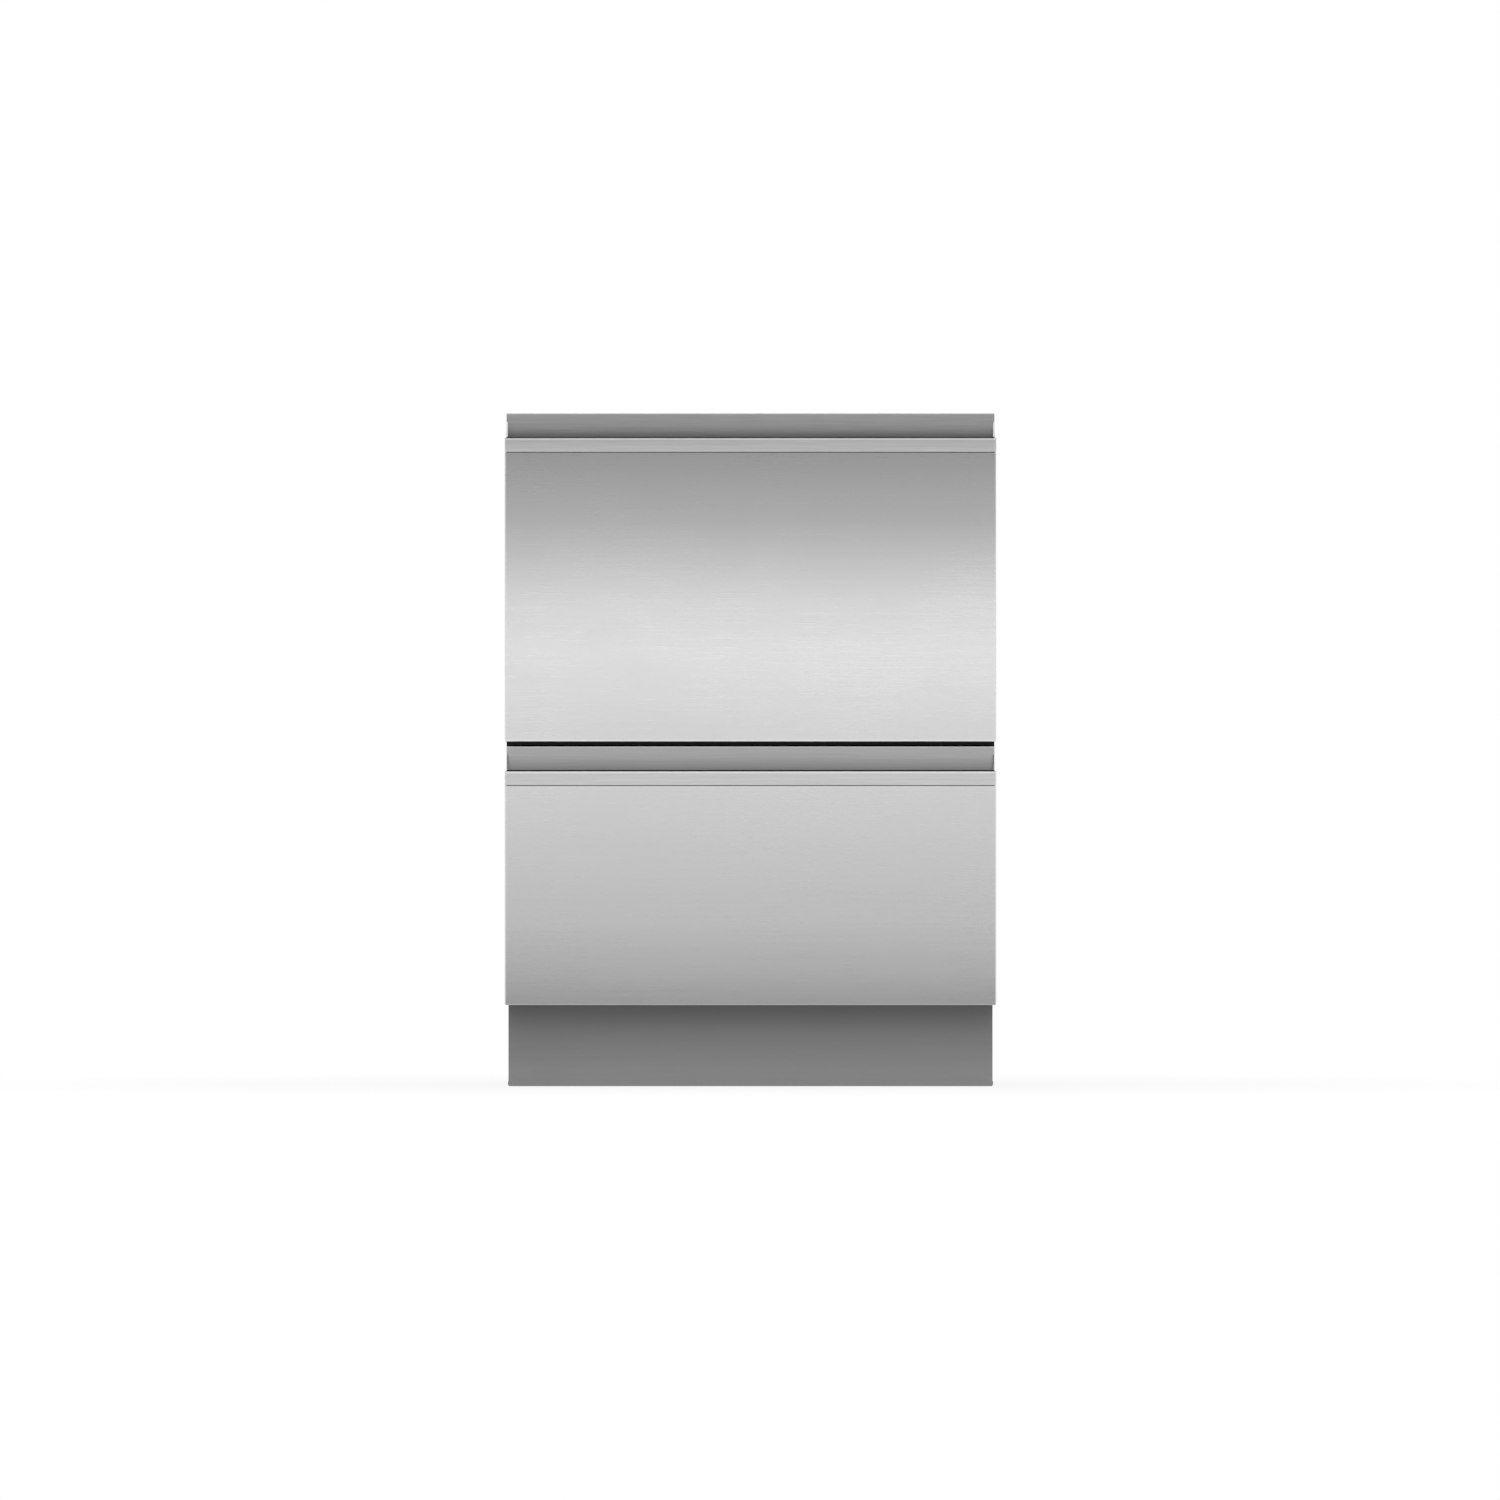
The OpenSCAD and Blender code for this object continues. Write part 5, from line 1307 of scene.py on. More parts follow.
def filter_plate(drawer):
    """A disc with rings of holes, a rim, and the pump's cover with the spindle on it."""
    low, high = cad(f"{drawer}_filter_plate")
    middle, z, top = (low + high) / 2, low.z, high.z
    at = Vector((middle.x + FILTER_AT[0], middle.y + FILTER_AT[1]))
    outlines = [circle(middle.x, middle.y, high.x, 96), circle(at.x, at.y, FILTER_RADIUS + 0.3, 48)]
    for radius in HOLE_RINGS:
        holes = int(2 * math.pi * radius / HOLE_PITCH)
        for i in range(holes):
            turn = 2 * math.pi * i / holes
            spot = Vector((middle.x + radius * math.cos(turn), middle.y + radius * math.sin(turn)))
            if (spot - at).length > FILTER_RADIUS + 5.2:
                outlines.append(circle(spot.x, spot.y, 2.6, 10))
    mesh = bmesh.new()
    plate(mesh, outlines, 2.5, moved(0, 0, z + 1.25), 0.35)
    place = moved(middle.x, middle.y)
    rim = [(108.5, z + 2.3), (109, z + 3.6), (110, z + 4.1), (111.2, z + 3.6), (111.6, z + 2.3)]
    lathe(mesh, rim, place, 96, loop=True)
    cover = [(27, z + 2.2), (25.2, z + 3), (24, z + 5), (24, z + 11), (22.8, z + 14.6), (20, z + 16.4),
             (17, z + 16.7), (SPINDLE, z + 16.7), (SPINDLE, top - 2.7), (12, top - 2.7), (13, top - 2.2),
             (13, top - 0.7), (12.2, top), (7, top), (6, top - 0.8), (0.5, top - 0.8)]
    lathe(mesh, cover, place, 48, flute=0.8)
    return piece(f"{drawer}_filter_disc", mesh, f"{drawer}_filter_plate", crease=38)


def drain_filter(drawer):
    """A slotted cup that hangs from a flange, with a bail to lift it out."""
    low, high = cad(f"{drawer}_drain_filter")
    x, y = (low.x + high.x) / 2, (low.y + high.y) / 2
    plate_top = high.z - 9
    place = moved(x, y)
    mesh = bmesh.new()
    outline = circle(x, y, FILTER_RADIUS - 1.2, CUP_SIDES)
    length = sum((outline[i] - outline[i - 1]).length for i in range(CUP_SIDES))
    slots = []
    for i in range(CUP_SLOTS):
        spot = length * (i + 0.5) / CUP_SLOTS
        for row in ((2.5, 8.5), (10.5, 16.5)):
            slots.append(stadium((spot - 1.1, spot + 1.1), row))
    wrap(mesh, plate_top - low.z, 1.6, outline, low.z, slots, 0.25)
    rim, bottom = FILTER_RADIUS - 1, low.z + 1.8
    lathe(mesh, [(rim, low.z), (rim, bottom), (1, bottom), (1, low.z)], place, CUP_SIDES, loop=True)
    z = plate_top + 0.3
    flange = [(32, z), (32, z + 1.2), (31.2, z + 2), (29, z + 2.2), (26.5, z + 1.4), (26, z),
              (26, z - 1.5), (27.8, z - 1.5), (27.8, z)]
    lathe(mesh, flange, place, 64, loop=True)
    foot, grip = z + 0.5, high.z - 2
    bar = points((x - 27, y, foot), (x - 22, y, grip), (x + 22, y, grip), (x + 27, y, foot))
    tube(mesh, rounded(bar, [0, 7, 7, 0], 5, closed=False), 2.0, 12)
    block(mesh, (x - 2, x + 2), (y - 26, y + 26), (z - 1.5, z + 1.5), 0.6)
    return piece(f"{drawer}_lift_out_filter", mesh, f"{drawer}_drain_filter", crease=38)


for_both(filter_plate, drain_filter)

# %% [markdown]
# ## Spray arms
# The blade is moulded in two halves and welded, so it has a seam, a crown above it and a
# flatter belly below. It narrows and rounds off towards its tips. Cross sections are lofted
# along it, closer together near the tips, and the hub and nozzles are turned on a lathe.

# %% Spray arms
STATIONS = 16
SECTION = 24
NOZZLES = 7
FIRST_NOZZLE, LAST_NOZZLE = 44, 18


def spray_arm(drawer):
    """The crowned and swept blade, its hub, and a row of nozzles on each half."""
    low, high = cad(f"{drawer}_spray_arm")
    middle, reach, z = (low + high) / 2, high.x, low.z
    stations = [reach * math.sin(math.pi / 2 * i / STATIONS) for i in range(-STATIONS, STATIONS + 1)]

    def blade(x):
        """Half width, height of the crown and sweep of the blade at x."""
        share = abs(x) / reach
        tip = max(0.0, (abs(x) - reach + 12) / 12)
        half = max((20 - 7.5 * share) * math.sqrt(max(0.0, 1 - tip * tip)), 0.6)
        crown = (6.0 - 2.0 * share) * (1 - 0.75 * tip * tip)
        return half, crown, 4.5 * math.sin(math.pi * x / reach)

    seam = z + 4
    rings = []
    for x in stations:
        half, crown, sweep = blade(x)
        ring = []
        for k in range(SECTION):
            turn = 2 * math.pi * k / SECTION
            rise = math.sin(turn)
            lift = crown * rise ** 0.8 if rise > 0 else -3.6 * (-rise) ** 0.5 * min(1, crown / 3)
            ring.append(Vector((x, middle.y + sweep + half * math.cos(turn), seam + lift)))
        rings.append(ring)
    mesh = bmesh.new()
    loft(mesh, rings)
    bore = SPINDLE + 0.06
    hub = [(bore, z), (bore, z + 12), (13.5, z + 12), (16, z + 11.4), (24.6, z + 9.6),
           (26, z + 8), (26, z + 1.2), (25, z)]
    lathe(mesh, hub, moved(middle.x, middle.y), 64, loop=True)
    for side in (-1, 1):
        for i in range(NOZZLES):
            x = FIRST_NOZZLE + (reach - LAST_NOZZLE - FIRST_NOZZLE) * i / (NOZZLES - 1)
            half, crown, sweep = blade(x)
            away = 6 if i % 2 == 0 else -6
            place = moved(side * x, middle.y + side * (away + sweep))
            rise = seam + crown * math.sqrt(max(0.0, 1 - (away / half) ** 2)) ** 0.8
            nozzle = [(1.5, rise - 1.2), (1.5, rise + 0.5), (2.2, rise + 1.0), (3.2, rise + 0.9),
                      (3.9, rise + 0.1), (4.3, rise - 1.2)]
            lathe(mesh, nozzle, place, 16, loop=True)
            lathe(mesh, [(1.5, rise - 1.0), (1.5, rise - 0.4), (0.2, rise - 0.4)], place, 12)
    return piece(f"{drawer}_spray_blade", mesh, f"{drawer}_spray_arm", crease=40)


for_both(spray_arm)

# %% [markdown]
# ## Detergent dispenser
# It sits in the tub's front wall: a housing with a cup for detergent under a sprung door, and
# a rinse-aid tank with a cap that a coin turns. The door hangs on a rod between two cheeks.

# %% Dispensers
DOOR = (-78.0, 14.0)
CUP_WALL = 4.0
SHELL_HALF, FLANGE_HALF = 85, 90
CAP_X = 46.0


def dispenser(drawer):
    """The housing with its cup and flange, the door's cheeks and latch, and the cap."""
    low, high = cad(f"{drawer}_dispenser")
    z = (low.z + 5, high.z - 5)
    back, face = low.y, low.y + 16
    lap_y = face - 6 + 0.3
    cup = frame_outline((DOOR[0] + CUP_WALL, DOOR[1] - CUP_WALL), (z[0] + 13, z[1] - 8), 5, 5)
    shell = frame_outline((-SHELL_HALF, SHELL_HALF), z, 6, 6)
    flange = frame_outline((-FLANGE_HALF, FLANGE_HALF), (low.z, high.z), 10, 6)
    mesh = bmesh.new()
    plate(mesh, [shell, cup], 12, in_plane_xz(back + 10), 1.0)
    plate(mesh, [shell], 4.5, in_plane_xz(back + 2.25), 0.5)
    plate(mesh, [flange, cup], 2.7, in_plane_xz(lap_y + 1.35), 0.9)
    pivot_y, pivot_z = face + 2.5, z[0] + 7
    for x in (DOOR[0] - 1.8, DOOR[1] + 1.8):
        cheek = rounded(points((face - 1, pivot_z - 5), (pivot_y + 2.5, pivot_z - 2.5),
                               (pivot_y + 2.5, pivot_z + 2.5), (face - 1, pivot_z + 6)), [0, 2.4, 2.4, 0], 4)
        plate(mesh, [cheek, circle(pivot_y, pivot_z, 1.57, 16)], 3, in_plane_yz(x), 0.4)
    middle = (DOOR[0] + DOOR[1]) / 2
    block(mesh, (middle - 9, middle + 9), (face - 1, face + 4.5), (z[1] - 7, z[1] - 1.5), 1.2, 3)
    cap_z = (z[0] + z[1]) / 2
    outward = to_rear(CAP_X, face, cap_z)
    ring = [(19.5, -0.5), (19.5, 0.6), (18.6, 1.1), (17.2, 1.1), (16.4, 0.4), (16.4, -0.5)]
    lathe(mesh, ring, outward, 64, loop=True)
    cap = [(15.4, -0.5), (15.9, 0.6), (15.9, 4.6), (15, 5.4), (13.6, 5.4), (12.8, 4.4), (1, 4.4)]
    lathe(mesh, cap, outward, 96, flute=0.6)
    block(mesh, (CAP_X - 12.4, CAP_X + 12.4), (face + 4, face + 6), (cap_z - 2.2, cap_z + 2.2), 0.9, 3)
    eye = [(4.2, -0.5), (4.2, 0.4), (3.6, 0.8), (2.9, 0.8), (2.6, 0.3), (0.5, 0.7)]
    lathe(mesh, eye, to_rear(CAP_X + 27, face, cap_z), 24)
    return piece(f"{drawer}_dispenser_body", mesh, f"{drawer}_dispenser", crease=40)


def dispenser_door(drawer):
    """The door leaf with its raised rim and grip bars, on its rod."""
    low, high = cad(f"{drawer}_dispenser_door")
    face = high.y - 3.7
    pivot_y, pivot_z = face + 2.2, low.z + 1.5
    x = DOOR
    mesh = bmesh.new()
    leaf = rounded(points((x[0], pivot_z + 1), (x[1], pivot_z + 1), (x[1], high.z), (x[0], high.z)),
                   [1, 1, 6, 6], 6)
    plate(mesh, [leaf], 2.2, in_plane_xz(face + 1.1), 0.6)
    rim = frame_outline((x[0] + 1, x[1] - 1), (pivot_z + 3, high.z - 1), 5, 6)
    inner = frame_outline((x[0] + 4, x[1] - 4), (pivot_z + 6, high.z - 4), 3, 6)
    plate(mesh, [rim, inner], 1.6, in_plane_xz(face + 2.2), 0.5)
    for i in range(5):
        bar_x = sum(DOOR) / 2 + (i - 2) * 9.0
        block(mesh, (bar_x - 1.2, bar_x + 1.2), (face + 2, face + 2.8), (pivot_z + 12, high.z - 12), 0.35)
    tube(mesh, points((x[0] - 2.4, pivot_y, pivot_z), (x[1] + 2.4, pivot_y, pivot_z)), 1.5, 16)
    for at in ((x[0], x[0] + 18), (x[1] - 18, x[1])):
        block(mesh, at, (pivot_y - 1.4, pivot_y + 0.9), (pivot_z - 0.8, pivot_z + 3), 0.4)
    return piece(f"{drawer}_detergent_door", mesh, f"{drawer}_dispenser_door", crease=40)


for_both(dispenser, dispenser_door)

# %% [markdown]
# ## Controls
# The controls are on the drawer's top edge, so they only show when it is open: a black
# housing, a fascia with a wide display lens and a row of lamps, and two steel buttons with
# dished tops that stand just proud of it.

# %% Control panels and buttons
PANEL_WALL = 2.5
BUTTON = (18.0, 10.0)
BUTTON_AT = 238.0
BUTTON_GAP = 0.3
LENS_HALF = (46, 6)
LAMPS = (*range(-186, -120, 16), *range(126, 200, 16))


def control_panel(drawer):
    """A housing with a fascia that has openings for the lens and the buttons."""
    low, high = cad(f"{drawer}_control_panel")
    top = high.z - PANEL_WALL
    mesh = bmesh.new()
    rings = []
    for inset, z in ((0.8, low.z), (0, low.z + 0.8), (0, top), (PANEL_WALL, top),
                     (PANEL_WALL, low.z + PANEL_WALL)):
        rings.append(level(taken_in(low, high, inset, max(3 - inset, 0.5), 4), z))
    loft(mesh, rings)
    middle = (low.y + high.y) / 2
    half_x, half_y = BUTTON[0] / 2 + BUTTON_GAP, BUTTON[1] / 2 + BUTTON_GAP
    outlines = [taken_in(low, high, 0, 3, 5)]
    for x in (-BUTTON_AT, BUTTON_AT):
        outlines.append(frame_outline((x - half_x, x + half_x), (middle - half_y, middle + half_y), 3.2, 5))
    outlines.append(stadium((-LENS_HALF[0], LENS_HALF[0]), (middle - LENS_HALF[1], middle + LENS_HALF[1])))
    plate(mesh, outlines, PANEL_WALL, moved(0, 0, top + PANEL_WALL / 2), 0.7)
    return piece(f"{drawer}_control_housing", mesh, f"{drawer}_control_panel", crease=38)


def control_lenses(drawer):
    """The display's smoked lens, and the small lamps beside the buttons."""
    low, high = cad(f"{drawer}_control_panel")
    middle, top = (low.y + high.y) / 2, high.z
    mesh = bmesh.new()
    half_x, half_y = LENS_HALF[0] + 0.4, LENS_HALF[1] + 0.4
    lens = stadium((-half_x, half_x), (middle - half_y, middle + half_y))
    plate(mesh, [lens], 2, moved(0, 0, top - 1.4), 0.5)
    piece(f"{drawer}_display_lens", mesh, f"{drawer}_control_panel", False, "basket_plastic")
    mesh = bmesh.new()
    for x in LAMPS:
        lamp = [(1.9, top - 0.6), (1.9, top - 0.05), (1.5, top + 0.2), (0.4, top + 0.3)]
        lathe(mesh, lamp, moved(x, middle), 20)
    for x in (-BUTTON_AT - 19, BUTTON_AT + 19):
        line = stadium((x - 4, x + 4), (middle - 0.7, middle + 0.7))
        plate(mesh, [line], 0.8, moved(0, 0, top - 0.15), 0.2)
    return piece(f"{drawer}_control_lenses", mesh, f"{drawer}_control_panel", False, "impeller_plastic")


def button(drawer, which):
    """A button with a dished top, on its stem."""
    low, high = cad(f"{drawer}_{which}_button")
    middle = (low + high) / 2
    rings = []
    for inset, drop in ((0.3, 5.8), (0, 5.4), (0, 0.9), (0.25, 0.3), (0.8, 0), (1.7, 0),
                        (2.8, 0.35), (3.8, 0.5)):
        rings.append(level(taken_in(low, high, inset, max(3 - inset, 0.6), 5), high.z - drop))
    mesh = bmesh.new()
    loft(mesh, rings)
    stem = [(1.6, low.z), (2, low.z + 0.5), (2, high.z - 5)]
    lathe(mesh, stem, moved(middle.x, middle.y), 20)
    return piece(f"{drawer}_{which}_key", mesh, f"{drawer}_{which}_button", crease=45)


for drawer in DRAWERS:
    for part in (control_panel(drawer), control_lenses(drawer),
                 button(drawer, "power"), button(drawer, "start")):
        report(part)

# %% [markdown]
# ## Levelling feet
# A foot is a threaded stem with a hexagon to turn it by and a moulded pad with a fluted edge.
# All of it is turned, so a lathe makes it. The thread is turned as close grooves, which at
# this size can't be told from a true helix.


# %% Feet
def threaded(low, high, radius, pitch=1.75, depth=0.45):
    """The profile of a thread from low to high."""
    profile = []
    turns = int((high - low) / pitch)
    for i in range(turns):
        z = low + i * pitch
        profile += [(radius - depth, z), (radius, z + pitch * 0.45), (radius, z + pitch * 0.6)]
    return profile


def feet(node):
    """A pair of feet: pad, hexagon and threaded stem."""
    low, high = cad(node)
    y = (low.y + high.y) / 2
    mesh = bmesh.new()
    for x in (low.x + 18, high.x - 18):
        place = moved(x, y)
        pad = [(15.5, 0), (17.2, 0.6), (18, 2), (18, 5), (17, 6.6), (14, 7.6), (9.5, 8.2), (1, 8.2)]
        lathe(mesh, [(r, low.z + h) for r, h in pad], place, 96, flute=0.7)
        nut = [(8.2, 8), (9.9, 9.2), (9.9, 14.8), (8.2, 16), (3.9, 16)]
        lathe(mesh, [(r, low.z + h) for r, h in nut], place, 6)
        thread = threaded(low.z + 14, high.z - 3, 4.0)
        stem = [(3.5, low.z + 7), *thread, (3.6, high.z - 1.5), (2.6, high.z)]
        lathe(mesh, stem, place, 20)
    return piece(f"{node}_turned", mesh, node, crease=30)


for node in ("front_feet", "rear_feet"):
    report(feet(node))

# %% [markdown]
# ## Chassis screws
# Hexagon screws with a washer face hold the back and the top to the side panels, so they
# stand in a row down each side of both. Each is a thread, a washer and a head with a shallow
# dish, all turned. A lathe with six steps makes the hexagon.

# %% Screws
BACK_SCREWS = (139.5, 351.67, 563.83, 776.0)
TOP_SCREWS = (-172.5, 25.3, 223.1)


def chassis_screws():
    """The screws of the back and of the top, as one piece."""
    high = cad("chassis_screws")[1]
    back, top, side = high.y - 2.2, high.z - 2.2, high.x - 4
    mesh = bmesh.new()
    for x in (-side, side):
        places = [to_rear(x, back, z) for z in BACK_SCREWS] + [moved(x, y, top) for y in TOP_SCREWS]
        for place in places:
            lathe(mesh, [(1.2, -6), *threaded(-5.2, 0, 2.0, 0.8, 0.35), (2, 0)], place, 12)
            lathe(mesh, [(3.8, 0), (4, 0.3), (3.8, 0.7), (3.2, 0.8)], place, 24)
            lathe(mesh, [(3.3, 0.6), (3.3, 1.8), (2.8, 2.2), (1.7, 2.2), (1.4, 1.7), (0.3, 1.6)], place, 6)
    return piece("hexagon_screws", mesh, "chassis_screws", crease=30)


report(chassis_screws())

# %% [markdown]
# ## Wash motors
# A flat motor sits under each tub. Its moulded housing has ribs round it, a flange with six
# screws, and a block for its connector on the right. The housing is turned, ribs and all.

# %% Wash motors
MOTOR_RIBS = 5
RIB_PITCH = 3.6
FLANGE_SCREWS = 6


def wash_motor(drawer):
    """The ribbed housing with its flange, flange screws and connector block."""
    low, high = cad(f"{drawer}_wash_motor")
    y, z = (low.y + high.y) / 2, low.z
    top = z + 34
    mesh = bmesh.new()
    profile = [(20, z + 1.5), (22, z + 1.5), (24, z), (54, z), (58, z + 1.6), (60, z + 5)]
    for i in range(MOTOR_RIBS):
        profile += [(r, z + h + RIB_PITCH * i) for r, h in ((60, 7.5), (58.4, 8.3), (58.4, 9.7), (60, 10.5))]
    profile += [(60, top - 6), (67.2, top - 6), (68, top - 5.2), (68, top - 0.8), (67.2, top),
                (4, top), (4, high.z - 0.6), (3.4, high.z)]
    lathe(mesh, profile, moved(0, y), 96)
    for i in range(FLANGE_SCREWS):
        turn = 2 * math.pi * (i + 0.5) / FLANGE_SCREWS
        spot = moved(64 * math.cos(turn), y + 64 * math.sin(turn))
        lathe(mesh, [(2.6, top - 7.6), (3.0, top - 7.2), (3.0, top - 5.5)], spot, 6)
    block(mesh, (56, 82), (y - 18, y + 18), (z + 6, z + 24), 1.6, 3)
    for i in range(4):
        pin_y = y - 12 + 8 * i
        block(mesh, (76, 79), (pin_y - 2.4, pin_y + 2.4), (z + 23, z + 25.2), 0.5)
    return piece(f"{drawer}_pump_motor", mesh, f"{drawer}_wash_motor", crease=30)


for_both(wash_motor)

# %% [markdown]
# ## Ports at the back
# The inlet valve takes a hose with a threaded union, the drain spigot has barbs that a hose
# is pushed over, and the mains cable leaves by a gland. Each goes through the chassis plate
# and has a collar on both sides of it. They are turned lying down, pointing to the rear.

# %% Ports at the back
PORT_Z = 132.6
PORT_PLATE = 244.3
COLLAR = 4
INLET_X, DRAIN_X, CABLE_X = -70, 0, 70


def service_ports():
    """The inlet with its valve, the drain spigot and the cable gland."""
    low = cad("service_ports")[0]
    inner, outer = PORT_PLATE - COLLAR, PORT_PLATE + 1.5 + COLLAR
    mesh = bmesh.new()

    def port(x, radius, bore, outside):
        """A collar on each side of the plate and what stands outside, bored through."""
        neck, collar = radius + 1.5, radius + 5.5
        profile = [(bore, inner), (collar - 0.6, inner), (collar, inner + 0.6), (collar, inner + 3.7),
                   (neck, inner + 3.9), (neck, outer - 4), (collar, outer - 3.8), (collar, outer - 0.8),
                   (collar - 0.8, outer), *[(r, outer + h) for r, h in outside],
                   (bore, outer + outside[-1][1])]
        lathe(mesh, profile, to_rear(x, 0, PORT_Z), 48, loop=True)

    port(INLET_X, 13.2, 6, [(12.6, 0.1), *threaded(1, 12.6, 13.2, 1.8, 0.8), (12.2, 13.6), (11, 14)])
    barbs = [(8.8, 0.1), (8.8, 3), (9.5, 3.4), (8.6, 8.5), (9.5, 8.9), (8.6, 14), (9.5, 14.4), (8.3, 20.5)]
    port(DRAIN_X, 9.5, 7.5, barbs)
    port(CABLE_X, 9, 4.2, [(8.2, 0.1), (8.2, 8.6), (6.4, 10)])
    gland = [(5, 0), (10.2, 0), (11, 1), (11, 6), (9.4, 7.4), (5, 7.4)]
    lathe(mesh, [(r, outer + h) for r, h in gland], to_rear(CABLE_X, 0, PORT_Z), 6, loop=True)
    valve_x, valve_z = (INLET_X - 18, INLET_X + 18), (PORT_Z - 18, PORT_Z + 18)
    block(mesh, valve_x, (low.y, inner + 0.5), valve_z, 2.5, 3)
    coil = [(11, 17), (13, 17), (13.6, 18), (13.6, 19.6), (12.8, 20.6), (2, 20.6)]
    lathe(mesh, coil, moved(INLET_X, low.y + 16, PORT_Z), 32)
    return piece("water_and_power_ports", mesh, "service_ports", crease=30)


report(service_ports())

# %% [markdown]
# ## The parts that keep their CAD shape
# Panels, runners, lids, seals, carriers, impellers and link arms are right as the CAD has
# them. They only need the edges that folding or moulding would leave. The table gives each
# its edge radius in millimetres, and names the kind once for both drawers.

# %% CAD parts that keep their shape
EDGES = {
    "side_panel_left": 0.5, "side_panel_right": 0.5, "back_panel": 0.4, "top_panel": 0.3,
    "base_tray": 0.4, "mid_rail": 0.4, "front_feet": 0.5, "rear_feet": 0.5, "outer_rails": 0.4,
    "lid_actuators": 1.2, "edge_seals": 1.0, "chassis_screws": 0.3, "service_ports": 0.6,
    "middle_rails": 0.3, "inner_rails": 0.3, "lid": 1.0, "lid_seal": 1.2,
    "front_carrier": 0.8, "control_panel": 0.6, "power_button": 0.6, "start_button": 0.6,
    "tub": 1.0, "filter_plate": 0.3, "drain_filter": 0.4, "spray_arm": 1.0, "impeller": 0.4,
    "wash_motor": 1.0, "rack": 0.8, "cup_rack": 0.8, "cutlery_basket": 0.6, "dispenser": 0.6,
    "dispenser_door": 0.5, "link_rear_arm": 0.8, "link_front_arm": 0.8,
}
stood_for = {n for thing in made.values() for n in thing.get("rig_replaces", [])}
for node in nodes:
    if node not in stood_for:
        soften(node, EDGES[node.removeprefix("upper_").removeprefix("lower_")])
print(len(nodes) - len(stood_for), "CAD parts keep their shape and get soft edges")

# %% [markdown]
# ## Floor and surroundings
# The picture has a pure white ground. The floor and the world are white to the camera and to
# reflections, and the floor still takes the appliance's shadow close by. It fades out over
# the first metre, so that no edge of it can be seen.

# %% Floor
WHITE = (1, 1, 1, 1)
FLOOR = 40
FLOOR_DROP = 0.0005
SHADOW_FADES = (0.35, 1.1)
SHADOW = 0.12


def sheet(name, corners, material):
    """A flat four-cornered sheet with its material, for the floor and the light wall."""
    mesh = bpy.data.meshes.new(name)
    mesh.from_pydata(corners, [], [(0, 1, 2, 3)])
    mesh.materials.append(material)
    thing = into_scene(bpy.data.objects.new(name, mesh))
    return thing


def white_floor():
    """A floor that shows white, and lets a little of the shadow through near the object."""
    finish = Finish("studio_floor", roughness=0.9)
    cloud = finish.noise(3, 3, 0.5)
    finish.set(base_color=cloud.tint((0.8, 0.8, 0.8), (0.84, 0.84, 0.84)))
    near = finish.add("VectorMath", {"operation": "LENGTH"}, [finish.place], out="Value")
    share = finish.seen() * (near.between(*SHADOW_FADES) * SHADOW + (1 - SHADOW))
    glow = finish.add("Emission", {}, {"Color": WHITE, "Strength": 1.0})
    matt = Flow(finish, finish.shader.outputs[0])
    finish.end(finish.add("MixShader", {}, [share, matt, glow]))
    return finish.material


corners = [(-FLOOR, -FLOOR, 0), (FLOOR, -FLOOR, 0), (FLOOR, FLOOR, 0), (-FLOOR, FLOOR, 0)]
floor = sheet("floor", corners, white_floor())
floor.location.z = -FLOOR_DROP
print("floor", FLOOR * 2, "m wide")

# %% [markdown]
# ## The white surroundings
# A white studio lights everything evenly from all sides. The camera and reflections see it
# at full white, as in the picture, and as light it counts for a little over half of that.

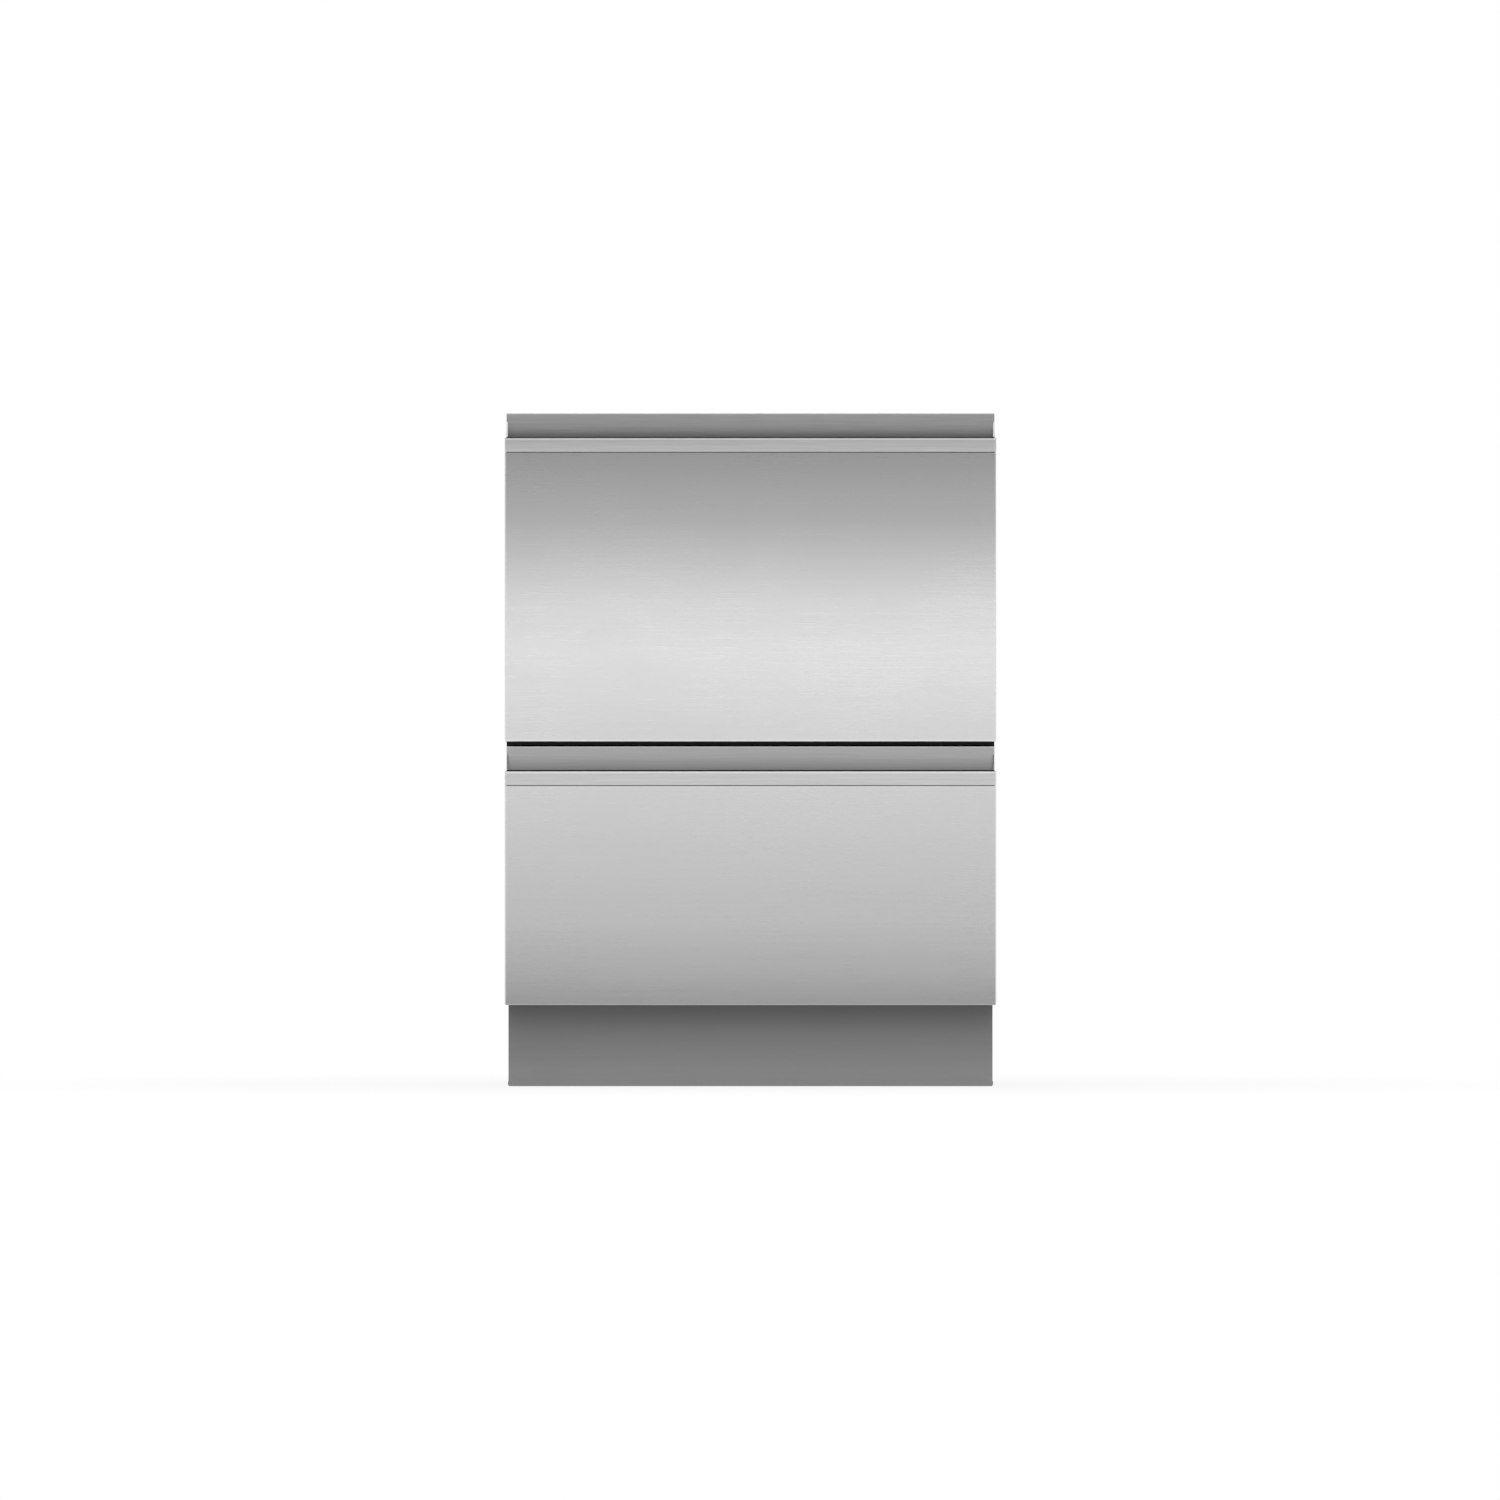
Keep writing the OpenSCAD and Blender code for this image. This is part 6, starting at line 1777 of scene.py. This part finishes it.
# %% World
AMBIENT = 0.55
world = bpy.data.worlds.new("studio")
world.use_nodes = True
bpy.context.scene.world = world
sky = Network(world.node_tree)
backdrop = world.node_tree.nodes["Background"]
brightness = sky.add("MapRange", {}, {"Value": sky.seen(), "To Min": AMBIENT, "To Max": 1.0})
sky.feed(backdrop.inputs["Strength"], brightness)
sky.feed(backdrop.inputs["Color"], WHITE)
print("world at", AMBIENT, "for light and 1.0 for the camera")

# %% [markdown]
# ## The wall of light
# What a brushed front shows at each height is the brightness of what stands before it,
# smeared up and down. A wall stands in front of the appliance whose light rises and falls
# with height. It is only there in reflections: it lights nothing and the camera looks
# through it. It stands well away from the fronts, so that an opened drawer still shows it.

# %% The light wall
WALL_AWAY = 0.8
WALL_HALF = 2.5
WALL_TOP = 1.6
WALL_PEAK = 3.5
WALL_STOPS = (
    (0, 0.4), (0.2, 0.9), (0.4, 1.25), (0.55, 1.65), (0.7, 1.1), (0.9, 0.25), (1.2, 0),
)


def light_wall():
    """A wall of graded light before the appliance. Only reflections show it."""
    finish = Finish("light_wall")
    height = finish.axes()[2] * (1 / WALL_TOP)
    stops = [(z / WALL_TOP, light / WALL_PEAK) for z, light in WALL_STOPS]
    shade = finish.add("ValToRGB", {"stops": stops}, [height])
    finish.end(finish.add("Emission", {}, {"Color": shade, "Strength": WALL_PEAK}))
    y = front_y - WALL_AWAY
    corners = [(-WALL_HALF, y, 0), (WALL_HALF, y, 0), (WALL_HALF, y, WALL_TOP), (-WALL_HALF, y, WALL_TOP)]
    wall = sheet("light_wall", corners, finish.material)
    wall.visible_camera = wall.visible_diffuse = wall.visible_shadow = False
    wall.visible_transmission = False


light_wall()
print("light wall", WALL_AWAY, "m in front")

# %% [markdown]
# ## The overhead lamp
# One large soft lamp hangs above and a little before the appliance. It gives the top and
# the opened drawers their light. The toe kick's shade under the fronts is painted in its
# colour. A lamp this wide throws no hard shadow, just as the picture has none.

# %% Overhead lamp
LAMP_SIDE = 2.5
LAMP_WATTS = 15
LAMP_PLACE = (0, -0.2, 2.6)
lamp = bpy.data.lights.new("overhead", "AREA")
lamp.shape, lamp.size, lamp.size_y, lamp.energy = "RECTANGLE", LAMP_SIDE, LAMP_SIDE, LAMP_WATTS
overhead = into_scene(bpy.data.objects.new("overhead", lamp))
overhead.location = LAMP_PLACE
overhead.visible_camera = False
print("one overhead lamp of", LAMP_WATTS, "W")
